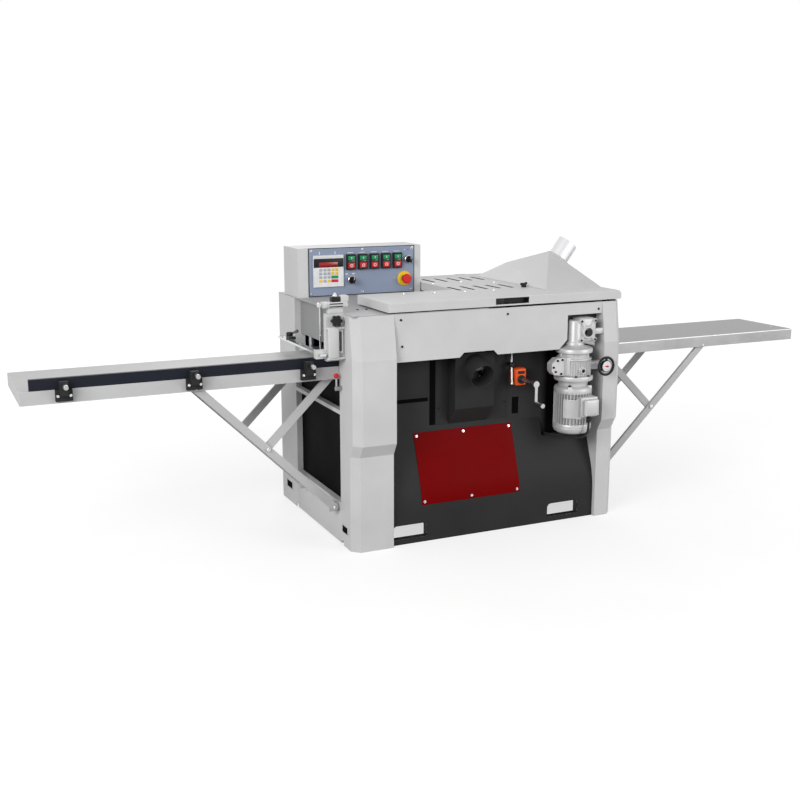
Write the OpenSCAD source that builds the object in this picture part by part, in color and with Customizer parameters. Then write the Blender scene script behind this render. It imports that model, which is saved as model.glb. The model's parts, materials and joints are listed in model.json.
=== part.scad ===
// Four sided moulder: cabinet, tables, four cutterheads, feed works and control box

/* [Cabinet] */
// Length of the cabinet along the feed
body_l = 1176; // [1150:1:1250]
// Depth of the cabinet, front to back
body_d = 826; // [815:1:900]
// Height of the corner posts
post_h = 902; // [896:1:940]
// Sheet thickness of posts, skirt, fascia and panels
sheet = 3; // [2:0.5:4]
// Width of the front left post
post_l_w = 166; // [140:1:180]
// Width of the front right post
post_r_w = 92; // [88:1:100]
// Depth of the outer side of a front post
post_side = 130; // [118:1:131]
// Bevel down the outer corner of a front post
post_bevel = 29; // [15:1:40]
// Set-back of the posts' toes
post_toe = 3; // [0:1:10]
// How far the middle of a post stands proud
post_belly = 25; // [10:1:30]
// Height where the toe ends
kink_low = 372; // [340:1:380]
// Height where the proud part starts
kink_high = 420; // [400:1:460]
// Height where the posts start to lean back
shoulder_z = 740; // [730:1:780]
// Width of a rear column
column_w = 45; // [35:1:60]
// Depth of a rear column
column_d = 200; // [150:1:205]
// Height of the upper end rail
end_rail_z = 515; // [480:1:560]
// Height of the lower end rail
low_rail_z = 128; // [110:1:150]
// Depth of the end rails along the feed
end_rail_d = 25; // [20:1:25]

/* [Front] */
// Set-back of the skirt from the cabinet front
skirt_set = 20; // [10:1:30]
// Height where the skirt starts to bend back
skirt_bend_z = 110; // [95:1:140]
// Radius of the skirt's bend
skirt_r = 350; // [250:1:420]
// Lean of the skirt above the bend, degrees
skirt_lean = 19.3; // [17:0.1:22]
// Depth of the recess behind the fascia
recess = 110; // [105:1:112]
// Height of the top of the recess wall
recess_top = 715; // [710:1:718]
// Height of the ledge under the feed motor
ledge_z = 352; // [330:1:362]
// Place of the motor bay's left edge along the feed
bay_x = 280; // [270:1:286]
// Width of a fork pocket
fork_w = 146; // [120:1:150]
// Height of the fork pockets' lower edge
fork_z = 20; // [15:1:30]
// Height of a fork pocket
fork_h = 58; // [50:1:60]
// Corner radius of the fork pockets
fork_r = 18; // [8:1:24]
// Left edges of the two fork pockets along the feed
fork_x = [-418, 277];
// Length of the plain front plate
plate_l = 437; // [300:1:440]
// Place of the front plate's left edge along the feed
plate_x = -293; // [-310:1:-280]
// Heights of the front plate's edges
plate_z = [148, 417];
// Thickness of the front plate
plate_t = 2; // [1:0.5:3]
// Height of the fascia's lower edge
fascia_z = 722; // [720:1:735]
// Height of the fascia's arch over the dust box
arch_z = 740; // [736:1:760]
// Height of the top of the fascia's gearbox opening
gear_open_z = 856; // [852:1:870]

/* [Dust box] */
// Width of the front dust box
dust_w = 172; // [160:1:180]
// Depth of the front dust box
dust_d = 60; // [55:1:70]
// Heights of the dust box: lower edge at the wall, lower edge in front, top
dust_z = [438, 508, 726];
// Wall of the dust box
dust_t = 2.5; // [2:0.5:3]
// Outer radius of the dust spouts
spout_r = 50; // [40:1:52]
// Wall of the dust spouts
spout_t = 2; // [1.5:0.5:3]
// Length of the front dust spout
spout_l = 66; // [40:1:90]
// Height of the front spout's root
spout_z = 668; // [660:1:668]
// Downward tilt of the front spout, degrees
spout_tilt = 22; // [10:1:30]

/* [Tables] */
// Height of the table tops
table_z = 701; // [690:1:710]
// Height of the table sides
table_t = 48; // [40:1:56]
// Wall of the tables
table_wall = 4; // [3:0.5:6]
// Set-back of the tables from the cabinet front
table_set = 133; // [133:1:140]
// Pitch of the tables' cross ribs, from the cabinet
rib_pitch = 230; // [215:1:240]
// Length of the infeed table outside the cabinet
infeed_l = 1144; // [1120:1:1300]
// Width of the infeed table
infeed_w = 385; // [370:1:400]
// Length of the outfeed table outside the cabinet
outfeed_l = 1050; // [900:1:1200]
// Width of the outfeed table
outfeed_w = 350; // [330:1:390]
// Thickness of the infeed fence
fence_t = 17; // [12:1:20]
// Height of the infeed fence
fence_h = 39; // [34:1:60]
// Length of the infeed fence
fence_l = 1111; // [1000:1:1115]
// Radius of the fence rods
fence_rod_r = 8; // [6:0.5:10]
// Distances of the fence clamps from the cabinet
clamp_x = [126, 554, 1000];
// Width of a fence clamp
clamp_w = 57; // [40:1:60]
// Reach of the brace's pivot from the cabinet
brace_reach = 282; // [250:1:320]
// Height of the brace's pivot
brace_z = 408; // [380:1:430]
// Width of the brace bars
brace_w = 30; // [24:1:36]
// Thickness of the brace bars
brace_t = 12; // [8:1:14]

/* [Works] */
// Board thickness that the head carriage is set to
board = 50; // [45:1:60]
// Radius of the feed rollers
roller_r = 35; // [30:1:38]
// Radius of the feed roller shafts
roller_shaft_r = 12; // [10:0.5:14]
// Places of the feed rollers along the feed
roller_x = [-430, -225, 415];
// Cutting radius of the top and bottom heads
head_r = 62; // [58:1:64]
// Radius of the horizontal heads' shafts
head_shaft_r = 15; // [12:0.5:16]
// Cutting radius of the side heads
side_r = 40; // [34:1:42]
// Radius of the side heads' spindles
spindle_r = 12; // [10:0.5:14]
// Height of the side heads above the table
side_h = 88; // [60:1:92]
// Place of the bottom head along the feed
bottom_x = -330; // [-334:1:-326]
// Place of the right head along the feed
right_x = -55; // [-58:1:-50]
// Place of the left head along the feed
left_x = 90; // [80:1:92]
// Place of the top head along the feed
top_x = 300; // [290:1:305]
// Width of board that the left head is set to
board_w = 205; // [180:1:230]
// Travel of the left head towards the fence and away
left_travel = [165, 105];
// Knife projection of the cutterheads
knife_out = 6; // [3:0.5:8]
// Radius of the carriage's guide columns
guide_r = 12; // [10:0.5:14]
// Radius of the left head's guide rods
slide_rod_r = 10; // [8:0.5:11]
// Radius of the width screw
screw_r = 8; // [6:0.5:9]
// Place of the width screw along the feed
crank_x = 160; // [156:1:162]
// Height of the width screw
crank_z = 602; // [596:1:606]
// Radius of the spindle motors
motor_r = 45; // [40:1:46]

/* [Feed drive] */
// Place of the feed motor's axis along the feed
drive_x = 375; // [372:1:378]
// Distance of the feed motor's axis behind the cabinet front
drive_y = 10; // [5:1:14]
// Outer radius of the feed motor's fins
fin_r = 77; // [72:1:80]
// Height of the feed motor's lower end
feed_motor_z = 377; // [375:1:385]
// Height of the variator's lower face
variator_z = 573; // [568:1:580]
// Height of the gearbox's lower face
gearbox_z = 735; // [730:1:740]
// Radius of the drive shaft
drive_r = 10; // [8:0.5:12]
// Radius of the speed handwheel
wheel_r = 40; // [34:1:44]
// Radius of the feed motor's cable
cable_r = 5; // [4:0.5:6]

/* [Lid] */
// Height of the lid's lower edge
lid_z = 910; // [908:1:915]
// Height of the lid
lid_h = 35; // [32:1:45]
// Wall of the lid
lid_t = 2; // [1.5:0.5:3]
// Distance of the lid's left edge from the cabinet's left end
lid_left = 142; // [120:1:150]
// Distance of the lid's right edge from the cabinet's right end
lid_right = 6; // [4:1:12]
// Overhang of the lid beyond the cabinet front
lid_over = 5; // [3:1:8]
// Bevel of the lid's front edge
lid_bevel = 3; // [2:0.5:5]
// Bevel of the lid's right edge
lid_end_bevel = 12; // [6:1:16]
// Depth of the lid in front of the control box
wing_d = 295; // [250:1:300]
// Distance of the lid's full-depth part from the cabinet's left end
lid_step = 562; // [560:1:566]
// Width of a lid slot
slot_w = 9; // [6:1:12]
// Length of a lid slot
slot_l = 115; // [80:1:120]
// Pitch of the lid slots
slot_pitch = 60; // [50:1:62]
// Radius of the hinge pins
hinge_r = 4; // [3:0.5:5]

/* [Control box] */
// Width of the control box
ctrl_w = 553; // [540:1:553]
// Height of the control box
ctrl_h = 200; // [196:1:220]
// Depth of the control box
ctrl_d = 171; // [140:1:180]
// Distance of the control panel behind the cabinet front
panel_set = 586; // [580:1:600]
// Width of the control panel
panel_w = 470; // [460:1:500]
// Height of the control panel
panel_h = 192; // [188:1:195]
// Pitch of the push-button stations
station_pitch = 52.5; // [46:0.5:54]
// Travel of the push buttons
press = 3; // [2:0.5:3]
// Radius of the emergency stop's mushroom
mushroom_r = 20.5; // [16:0.5:24]

/* [Clearances] */
// Running clearance of shafts and slides, on the radius
run = 0.05; // [0.02:0.01:0.1]
// Gap between neighbouring parts that don't touch
gap = 0.5; // [0.3:0.1:1]

/* [Hidden] */
$fn = 64;

light_grey = "#cfd0cf";
black = "#2b2c2e";
steel = "#a9acae";
iron = "#5a5d60";
eps = 1;

xl = -body_l / 2;
xr = body_l / 2;
yf = -body_d / 2;
yb = body_d / 2;
in_x0 = xl + post_l_w;
in_x1 = xr - post_r_w;
recess_y = yf + recess;
skirt_y = yf + skirt_set;
table_y = yf + table_set;
fence_y = table_y + fence_t;
bed_z = table_z - table_t;
deck_z = post_h + sheet;

tube = 40;
upright_x = xr - 67;
upright_y = yb - 68;
foot_w = tube;
foot_t = 8;
anchor_r = 7;
anchor_y = upright_y - 60;
foot_rim = 30;
frame_rail_z = 90;

bend_top = skirt_bend_z + skirt_r * sin(skirt_lean);
bend_in = skirt_r * (1 - cos(skirt_lean));
skirt_top = bend_top + (recess - skirt_set - bend_in) / tan(skirt_lean);
bend_steps = 8;
skirt_heights = concat(
  [0],
  [for (i = [0 : bend_steps]) skirt_bend_z + skirt_r * sin(skirt_lean * i / bend_steps)],
  [skirt_top]
);

fascia_return = 40;
guide_front_y = -upright_y - 10;
guide_back_y = 200;
bed_front = recess_y + sheet + 2;
bed_back = 175;
rib_t = 12;
roller_z = table_z + board + roller_r;
top_z = table_z + board + head_r;
bottom_z = table_z - head_r;
cut_y0 = table_y + 5;
cut_y1 = table_y + infeed_w + 5;
right_y = fence_y - side_r;
left_y = fence_y + board_w + side_r;
beam_t = 15;
beam_z0 = 768;
beam_z1 = 848;

socket_step = 3;
socket_z = 20;
dust_x = right_x + 2;
dust_y = recess_y - dust_d;

drive_yy = yf + drive_y;
gear_x = roller_x[2];
gear_back = guide_front_y - beam_t / 2 - 4.5;
gear_front = gear_back - 76;
drive_back = guide_front_y - beam_t / 2 - 3;

lid_x0 = xl + lid_left;
lid_x1 = xr - lid_right;
lid_y0 = yf - lid_over;
lid_y1 = yb - 21;
lid_top = lid_z + lid_h;
step_x = xl + lid_step;
hinge_y = lid_y1 + 7;
hinge_z = lid_top - 6;
hinge_out = 7;

ctrl_x0 = xl + 4;
ctrl_y0 = yf + panel_set + 3;
panel_y = yf + panel_set;
panel_x0 = ctrl_x0 + 49;
panel_z0 = deck_z + 5;
panel_z1 = panel_z0 + panel_h;

function skirt_in(z) =
  z < skirt_bend_z ? 0
  : z < bend_top ? skirt_r - sqrt(pow(skirt_r, 2) - pow(z - skirt_bend_z, 2))
  : bend_in + (z - bend_top) * tan(skirt_lean);

function back_order(list) = [for (i = [len(list) - 1 : -1 : 0]) list[i]];

// Outline swept along +X, drawn in Y and Z
module along_x(length) {
  rotate([90, 0, 90]) linear_extrude(length) children();
}

// Outline swept along +Y, drawn in X and Z
module along_y(length) {
  translate([0, length, 0]) rotate([90, 0, 0]) linear_extrude(length) children();
}

module rod_x(r, length) {
  rotate([0, 90, 0]) cylinder(r = r, h = length);
}

module rod_y(r, length) {
  rotate([-90, 0, 0]) cylinder(r = r, h = length);
}

// Box between two corners
module block(a, b) {
  translate(a) cube(b - a);
}

// Rectangle in plan with rounded ends, its long side along Y
module slot_outline(width, length) {
  translate([0, width / 2]) circle(d = width);
  translate([-width / 2, width / 2]) square([width, length - width]);
  translate([0, length - width / 2]) circle(d = width);
}

// Welded frame of square tube with four anchor plates
module base_frame() {
  color(iron) difference() {
    union() {
      for (mx = [0, 1], my = [0, 1]) mirror([mx, 0, 0]) mirror([0, my, 0]) frame_quarter();
    }
    for (sx = [-1, 1], sy = [-1, 1])
      translate([sx * upright_x, sy * anchor_y, -eps]) cylinder(r = anchor_r, h = foot_t + 2 * eps);
  }
}

module frame_quarter() {
  half = tube / 2;
  block([upright_x - foot_w / 2, anchor_y - foot_rim, 0], [upright_x + foot_w / 2, upright_y + foot_rim, foot_t]);
  block([upright_x - half, upright_y - half, 0], [upright_x + half, upright_y + half, bed_z]);
  block([0, upright_y - half, frame_rail_z], [upright_x, upright_y + half, frame_rail_z + tube]);
  for (z = [frame_rail_z, bed_z - tube])
    block([upright_x - half, 0, z], [upright_x + half, upright_y, z + tube]);
}

// Solid form of a front post inset by t, outer side at x = 0
module post_form(w, t) {
  back = post_side + t;
  z0 = -t;
  z1 = post_h + t;
  top_in = t * post_belly / (post_h - shoulder_z);
  front = [[post_toe, z0], [post_toe, kink_low], [-post_belly, kink_high], [-post_belly, shoulder_z], [top_in, z1]];
  bevel = [for (p = front) [(p[0] + post_bevel) / sqrt(2) + t, p[1]]];
  intersection() {
    translate([t, 0, 0]) along_x(w - 2 * t)
      polygon(concat([for (p = front) [p[0] + t, p[1]]], [[back, z1], [back, z0]]));
    rotate([0, 0, -45]) translate([-w, 0, 0]) along_x(3 * w)
      polygon(concat(bevel, [[back + w, z1], [back + w, z0]]));
  }
}

module front_post(w) {
  window = [16, 22];
  notch = [26, 18];
  difference() {
    post_form(w, 0);
    post_form(w, sheet);
    block([w / 2, recess + sheet, -eps], [w + eps, post_side + eps, post_h + eps]);
    block([w / 2, fascia_return, recess_top], [w + eps, post_side + eps, post_h + eps]);
    translate([-eps, post_side - notch[0] - window[0], 3 * notch[1]]) cube([sheet + 2 * eps, window[0], window[1]]);
    translate([-eps, post_side - notch[0], -eps]) cube([sheet + 2 * eps, notch[0] + eps, notch[1] + eps]);
  }
}

// Channel open to the inside, outer side at x = 0 and back at y = 0
module rear_column() {
  notch = [26, 18];
  difference() {
    translate([0, -column_d, 0]) cube([column_w, column_d, post_h]);
    translate([sheet, sheet - column_d, -eps]) cube([column_w, column_d - 2 * sheet, post_h + 2 * eps]);
    translate([-eps, -column_d - eps, -eps]) cube([sheet + 2 * eps, notch[0], notch[1]]);
  }
}

// Angle rails that tie the posts to the columns at one end
module end_rails() {
  y0 = yf + post_side;
  y1 = yb - column_d;
  for (r = [[end_rail_z, 15], [low_rail_z, 38]]) {
    block([xl, y0, r[0]], [xl + sheet, y1, r[0] + r[1]]);
    block([xl, y0, r[0] + r[1] - sheet], [xl + end_rail_d, y1, r[0] + r[1]]);
  }
}

module corner_posts() {
  half = tube / 2 + gap;
  color(light_grey) difference() {
    union() {
      translate([xl, yf, 0]) front_post(post_l_w);
      translate([xr, yf, 0]) mirror([1, 0, 0]) front_post(post_r_w);
      for (m = [0, 1]) mirror([m, 0, 0]) {
        translate([xl, yb, 0]) rear_column();
        end_rails();
      }
    }
    block([-upright_x, -upright_y - half, frame_rail_z - gap], [upright_x, -upright_y + half, frame_rail_z + tube + gap]);
  }
}

module fork_outline() {
  square([fork_w, fork_h - fork_r]);
  translate([fork_r, 0]) square([fork_w - 2 * fork_r, fork_h]);
  for (x = [fork_r, fork_w - fork_r]) translate([x, fork_h - fork_r]) circle(r = fork_r);
}

// Curved front sheet with two fork pockets and the ledge of the motor bay
module front_skirt() {
  x0 = in_x0 + gap;
  x1 = in_x1 - gap;
  face = [for (z = skirt_heights) [skirt_y + skirt_in(z), z]];
  rear = [for (p = face) [p[0] + sheet, p[1]]];
  ledge_y = skirt_y + skirt_in(ledge_z);
  color(black) difference() {
    union() {
      difference() {
        translate([x0, 0, 0]) along_x(x1 - x0) polygon(concat(face, back_order(rear)));
        block([bay_x, yf, ledge_z], [xr, yb, post_h]);
      }
      block([bay_x - sheet, ledge_y, ledge_z - sheet], [x1, recess_y, ledge_z]);
      translate([bay_x - sheet, 0, 0]) along_x(sheet)
        polygon([[ledge_y + sheet, ledge_z - sheet], [recess_y, ledge_z - sheet], [recess_y, skirt_top - sheet]]);
    }
    for (x = fork_x) translate([x, yf, fork_z]) along_y(recess) fork_outline();
  }
}

// Plain plate that follows the leaning part of the skirt
module front_plate() {
  heights = concat([plate_z[0]], [for (z = skirt_heights) if (z > plate_z[0] && z < plate_z[1]) z], [plate_z[1]]);
  rear = [for (z = heights) [skirt_y + skirt_in(z) - run, z]];
  face = [for (p = rear) [p[0] - plate_t, p[1]]];
  color("#7d1219") translate([plate_x, 0, 0]) along_x(plate_l) polygon(concat(face, back_order(rear)));
}

// Recess wall, end panels and rear panel
module cabinet_panels() {
  end_x = xl + end_rail_d;
  dust_half = dust_w / 2 - dust_t;
  color(black) {
    difference() {
      translate([0, recess_y, 0]) along_y(sheet) polygon([
        [in_x0 + gap, skirt_top], [bay_x, skirt_top], [bay_x, ledge_z], [in_x1 - gap, ledge_z],
        [in_x1 - gap, recess_top], [in_x0 + gap, recess_top]
      ]);
      block([dust_x - dust_half, recess_y - eps, dust_z[0] + 2 * dust_t], [dust_x + dust_half, recess_y + 2 * sheet, post_h]);
      translate([crank_x, recess_y - eps, crank_z]) rod_y(screw_r + gap, sheet + 2 * eps);
    }
    for (m = [0, 1]) mirror([m, 0, 0])
      block([end_x, yf + post_side, foot_t], [end_x + sheet, yb - column_d, bed_z - foot_t]);
    block([xl + column_w, yb - sheet, frame_rail_z], [xr - column_w, yb, post_h]);
  }
}

// Light sheet across the top of the front, open over the dust box and round the gearbox
module front_fascia() {
  arch_x0 = dust_x - dust_w / 2 - 8;
  arch_x1 = dust_x + dust_w / 2 - 32;
  slope = arch_z - fascia_z;
  cut_x = drive_x - fin_r;
  cut_slope = 36;
  color(light_grey) translate([0, yf, 0]) along_y(sheet) polygon([
    [in_x0 + gap, fascia_z], [arch_x0, fascia_z], [arch_x0 + slope, arch_z], [arch_x1, arch_z],
    [arch_x1 + slope, fascia_z], [cut_x, fascia_z], [cut_x + cut_slope, fascia_z + cut_slope],
    [cut_x + cut_slope, gear_open_z], [in_x1 - gap, gear_open_z], [in_x1 - gap, post_h], [in_x0 + gap, post_h]
  ]);
}

hinge_x = [step_x + 60, (step_x + lid_x1) / 2, lid_x1 - 60];
hinge_w = 40;

// Fixed top sheet with the guards over the infeed and outfeed, and the lid's hinge pins
module top_deck() {
  lip = 10;
  strip = 18;
  guard_z = table_z + board + 4;
  guard_x = xl + end_rail_d + 1;
  lug = 5;
  color(light_grey) {
    difference() {
      union() {
        block([xl, yf, post_h], [step_x - gap, yb, deck_z]);
        block([xl, yb - strip, post_h], [xr, yb, deck_z]);
        block([guard_x, -upright_y + lip, guard_z], [guard_x + sheet, yb - column_d, post_h]);
        for (x = hinge_x) for (side = [-1, 1]) hinge_lug(x + side * (hinge_w + lug + gap) / 2, lug);
        for (x = hinge_x) translate([x - hinge_w / 2 - lug, hinge_y, hinge_z]) rod_x(hinge_r, hinge_w + 2 * lug);
      }
      block([lid_x0 + lip, yf + lip, post_h - eps], [step_x, yf - lid_over + wing_d - lip, deck_z + eps]);
    }
    block([xr - 2 * sheet, -upright_y + lip, guard_z], [xr - sheet, yb - column_d, post_h]);
  }
}

module hinge_lug(x, thick) {
  translate([x - thick / 2, 0, 0]) {
    block([0, hinge_y - hinge_out + gap, post_h], [thick, yb, hinge_z]);
    translate([0, hinge_y, hinge_z]) rod_x(hinge_out - gap, thick);
  }
}

// Cast bed with pockets for the bottom and side heads and bearing ribs underneath
module machine_bed() {
  end_gap = sheet + 1;
  room = 4;
  lobe = 70;
  lobe_y = right_y - side_r - 9;
  slot_y0 = left_y - left_travel[0] - side_r - 6;
  slot_y1 = left_y + left_travel[1] + side_r + 6;
  rib_z = bed_z - 72;
  color(steel) difference() {
    union() {
      block([xl + end_gap, bed_front, bed_z], [xr - end_gap, bed_back, table_z]);
      block([right_x - lobe, lobe_y, bed_z], [right_x + lobe, bed_front + eps, table_z]);
      for (x = [[bottom_x - 60, bottom_x + 60], [left_x - 75, crank_x + 40]])
        for (y = [bed_front, bed_back - rib_t]) block([x[0], y, rib_z], [x[1], y + rib_t, table_z]);
    }
    block([bottom_x - head_r - room, bed_front + rib_t, rib_z - eps], [bottom_x + head_r + room, bed_back - rib_t, table_z + eps]);
    translate([bottom_x, bed_front - eps, bottom_z]) rod_y(head_shaft_r + run, bed_back - bed_front + 2 * eps);
    translate([right_x, right_y, bed_z - eps]) cylinder(r = side_r + 6, h = table_t + 2 * eps);
    block([left_x - side_r - 6, slot_y0, bed_z - eps], [left_x + side_r + 6, slot_y1, table_z + eps]);
    translate([crank_x, bed_front - eps, crank_z]) rod_y(screw_r + run, rib_t + 2 * eps);
  }
}

slide_rod_x = [left_x - 58, crank_x + 23];

// Four carriage columns and the two rods of the left head's slide
module guide_columns() {
  color(steel) {
    for (x = [-upright_x, upright_x], y = [guide_front_y, guide_back_y])
      translate([x, y, bed_z]) cylinder(r = guide_r, h = post_h - bed_z);
    for (x = slide_rod_x)
      translate([x, bed_front + rib_t, crank_z]) rod_y(slide_rod_r, bed_back - bed_front - 2 * rib_t);
  }
}

// Folded chip box in front of the right head with its round spout
module front_dust_box() {
  half = dust_w / 2;
  slope = (dust_z[1] - dust_z[0]) / dust_d;
  outer = [[dust_y, dust_z[1]], [dust_y, dust_z[2]], [recess_y, dust_z[2]], [recess_y, dust_z[0]]];
  inner = [
    [dust_y + dust_t, dust_z[1] + dust_t * (1 - slope) + dust_t], [dust_y + dust_t, dust_z[2] - dust_t],
    [recess_y + eps, dust_z[2] - dust_t], [recess_y + eps, dust_z[0] + 2 * dust_t - slope * eps]
  ];
  color(black) difference() {
    union() {
      difference() {
        translate([dust_x - half, 0, 0]) along_x(dust_w) polygon(outer);
        translate([dust_x - half + dust_t, 0, 0]) along_x(dust_w - 2 * dust_t) polygon(inner);
      }
      intersection() {
        front_spout(spout_r, spout_l, spout_r);
        block([xl, yf - body_d, 0], [xr, dust_y + dust_t, post_h]);
      }
    }
    front_spout(spout_r - spout_t - socket_step, spout_l, spout_r);
    front_spout(spout_r - spout_t, spout_l + eps, -2 * socket_z);
    translate([right_x, right_y, table_z]) cylinder(r = side_r + 6, h = side_h);
  }
}

module front_spout(r, length, root) {
  translate([dust_x, dust_y, spout_z]) rotate([90 + spout_tilt, 0, 0])
    translate([0, 0, -root / 2]) cylinder(r = r, h = length + root / 2);
}

// Worm gearbox hung on the right post, with its hollow output facing the front
module feed_gearbox() {
  half = 42;
  z0 = gearbox_z + 10;
  boss_r = 21;
  boss_h = 8;
  arm_h = 24;
  input_r = 42;
  color(steel) difference() {
    union() {
      block([gear_x - half, gear_front + boss_h, z0], [gear_x + half, gear_back, z0 + 97]);
      translate([drive_x, drive_yy, gearbox_z]) cylinder(r = input_r, h = z0 - gearbox_z);
      translate([drive_x, drive_yy, z0]) cylinder(r = input_r - 10, h = 80);
      translate([gear_x, gear_front, roller_z]) rod_y(boss_r, boss_h);
      translate([gear_x, gear_front + boss_h - 3, roller_z]) rod_y(half - 6, 3);
      for (i = [0 : 3]) translate([gear_x - half - 2, gear_front + boss_h + 8 + 16 * i, z0 + 10]) cube([2 * half + 4, 4, 78]);
      block([gear_x, drive_yy - arm_h, roller_z - arm_h / 2], [in_x1, drive_yy, roller_z + arm_h / 2]);
    }
    translate([gear_x, gear_front - eps, roller_z]) rod_y(drive_r + run, gear_back - gear_front + 2 * eps);
    block([drive_x - 2 * input_r, drive_back, gearbox_z - eps], [drive_x + 2 * input_r, 0, z0]);
  }
}

wheel_x = in_x1 - 13;
wheel_y = yf - 60;
wheel_z = 650;
arm_front = yf - 27;

// Belt variator: flanges, ribbed drum, side housing and the speed setting arm
module feed_variator() {
  drum_r = 66;
  h = gearbox_z - variator_z;
  color(steel) difference() {
    union() {
      translate([drive_x, drive_yy, variator_z]) cylinder(r = drum_r + 12, h = 14);
      translate([drive_x, drive_yy, variator_z + 14]) cylinder(r = drum_r, h = h - 54);
      for (i = [0 : 4]) translate([drive_x, drive_yy, variator_z + 24 + 18 * i]) cylinder(r = drum_r + 5, h = 7);
      translate([drive_x, drive_yy, variator_z + h - 42]) cylinder(r = drum_r + 9, h = 12);
      translate([drive_x, drive_yy, variator_z + h - 30]) cylinder(r1 = drum_r, r2 = drum_r - 20, h = 30);
      block([drive_x - drum_r - 24, drive_yy - 26, variator_z + 30], [drive_x, drive_yy + 26, variator_z + 108]);
      block([drive_x, arm_front, wheel_z - 18], [in_x1 - 2, drive_yy + 4, wheel_z + 18]);
    }
    translate([wheel_x, arm_front - eps, wheel_z]) rod_y(screw_r + run, 30 + eps);
    block([drive_x - 2 * drum_r, drive_back, gearbox_z - 20], [drive_x + 2 * drum_r, 0, gearbox_z + eps]);
  }
}

gland_x = drive_x + 16;
gland_y = drive_yy - 96;
gland_z = 437;
gland_h = 18;

// Finned motor with fan cover, end shield, terminal box and cable gland
module feed_motor() {
  h = variator_z - feed_motor_z;
  cover_h = 40;
  shield_h = 28;
  fins = 24;
  fin_t = 3.5;
  fin_z = feed_motor_z + cover_h;
  fin_h = h - cover_h - shield_h;
  core_r = fin_r - 13;
  box_z = gland_z + gland_h;
  vent_w = 6;
  vent_d = 4;
  color(steel) difference() {
    union() {
      translate([drive_x, drive_yy, feed_motor_z]) cylinder(r = fin_r, h = cover_h);
      translate([drive_x, drive_yy, fin_z - 1]) linear_extrude(fin_h + 2) {
        circle(r = core_r);
        for (i = [0 : fins - 1])
          rotate(i * 360 / fins + 4) translate([core_r - 4, -fin_t / 2]) square([fin_r - core_r + 2, fin_t]);
      }
      translate([drive_x, drive_yy, fin_z + fin_h]) cylinder(r = fin_r - 1, h = shield_h);
      block([drive_x - 6, drive_yy - 114, box_z], [drive_x + 74, drive_yy - 50, box_z + 78]);
      translate([gland_x, gland_y, gland_z]) cylinder(r = 9, h = gland_h + eps, $fn = 6);
    }
    for (i = [0 : 5]) translate([drive_x, drive_yy, feed_motor_z - eps]) rotate([0, 0, 60 * i])
      translate([24, -vent_w / 2, 0]) cube([30, vent_w, vent_d]);
  }
}

// Route of the motor cable, from the gland round under the motor to the recess wall
cable_route = [
  [391, -499, 437], [391, -499, 424], [391, -499, 408], [389.5, -496, 392], [385, -488, 378],
  [379, -476, 369], [371, -462, 366], [358, -438, 364], [344, -411, 362], [330, -385, 361],
  [317, -361, 360], [309, -343, 358], [304, -326, 357.3], [302, -314, 357.3], [302, -303.3, 357.3]
];
cable_sides = 10;

function unit(v) = v / norm(v);
function cable_dir(i) =
  i == 0 ? [0, 0, -1]
  : i == len(cable_route) - 1 ? [0, 1, 0]
  : unit(cable_route[i + 1] - cable_route[i - 1]);
function cable_ring(i) =
  let (d = cable_dir(i), u = unit(cross(d, [1, 0, 0])), v = cross(d, u))
  [for (k = [0 : cable_sides - 1])
    cable_route[i] + cable_r * (cos(360 * k / cable_sides) * u + sin(360 * k / cable_sides) * v)];

module feed_motor_cable() {
  last = len(cable_route) - 1;
  n = cable_sides;
  points = [for (i = [0 : last]) each cable_ring(i)];
  sides = [for (i = [0 : last - 1], k = [0 : n - 1])
    let (a = i * n + k, b = i * n + (k + 1) % n) each [[a, b, b + n], [a, b + n, a + n]]];
  ends = [[for (k = [n - 1 : -1 : 0]) k], [for (k = [0 : n - 1]) last * n + k]];
  color(black) polyhedron(points = points, faces = concat(sides, ends));
}

// Digital position indicator on the width screw
module position_indicator() {
  half_w = 32;
  half_h = 35;
  front = recess_y - 62;
  color("#e2571c") difference() {
    union() {
      block([crank_x - half_w, front + 8, crank_z - half_h + 9], [crank_x + half_w, recess_y, crank_z + half_h + 9]);
      translate([crank_x, front, crank_z]) rod_y(17, 8);
    }
    translate([crank_x, front - eps, crank_z]) rod_y(screw_r + 0.3, 62 + 2 * eps);
    block([crank_x - half_w + 10, front + 8 - eps, crank_z + 20], [crank_x + half_w - 10, front + 10, crank_z + 36]);
  }
}

// Sheet box that stands on the deck behind the control panel
module control_box() {
  t = 2;
  rim = 14;
  y1 = ctrl_y0 + ctrl_d;
  color(light_grey) difference() {
    block([ctrl_x0, ctrl_y0, deck_z], [ctrl_x0 + ctrl_w, y1, deck_z + ctrl_h]);
    block([ctrl_x0 + t, ctrl_y0 + t, deck_z + t], [ctrl_x0 + ctrl_w - t, y1 - t, deck_z + ctrl_h - t]);
    block([panel_x0 + rim, ctrl_y0 - eps, panel_z0 + rim], [panel_x0 + panel_w - rim, ctrl_y0 + 2 * t, panel_z1 - rim]);
  }
}

station_x = [for (i = [0 : 4]) panel_x0 + 181 + i * station_pitch];
station_z = panel_z1 - 58;
station_w = 39;
station_h = 64;
station_t = 12;
key_w = 28;
key_h = 22;
key_off = 14;
key_gap = 0.3;
selector_at = [[panel_x0 + 183, panel_z1 - 132], [panel_x0 + 442, panel_z1 - 56]];
estop_at = [panel_x0 + 426, panel_z1 - 136];
stem_r = 8;
neck_r = 15;
neck_h = 14;

// Panel plate with the holes that its switches pass through
module control_panel() {
  color("#6f7a80") difference() {
    block([panel_x0, panel_y, panel_z0], [panel_x0 + panel_w, ctrl_y0, panel_z1]);
    for (p = concat(selector_at, [estop_at])) translate([p[0], panel_y - eps, p[1]]) rod_y(stem_r + 1, ctrl_y0 - panel_y + 2 * eps);
  }
}

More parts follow.
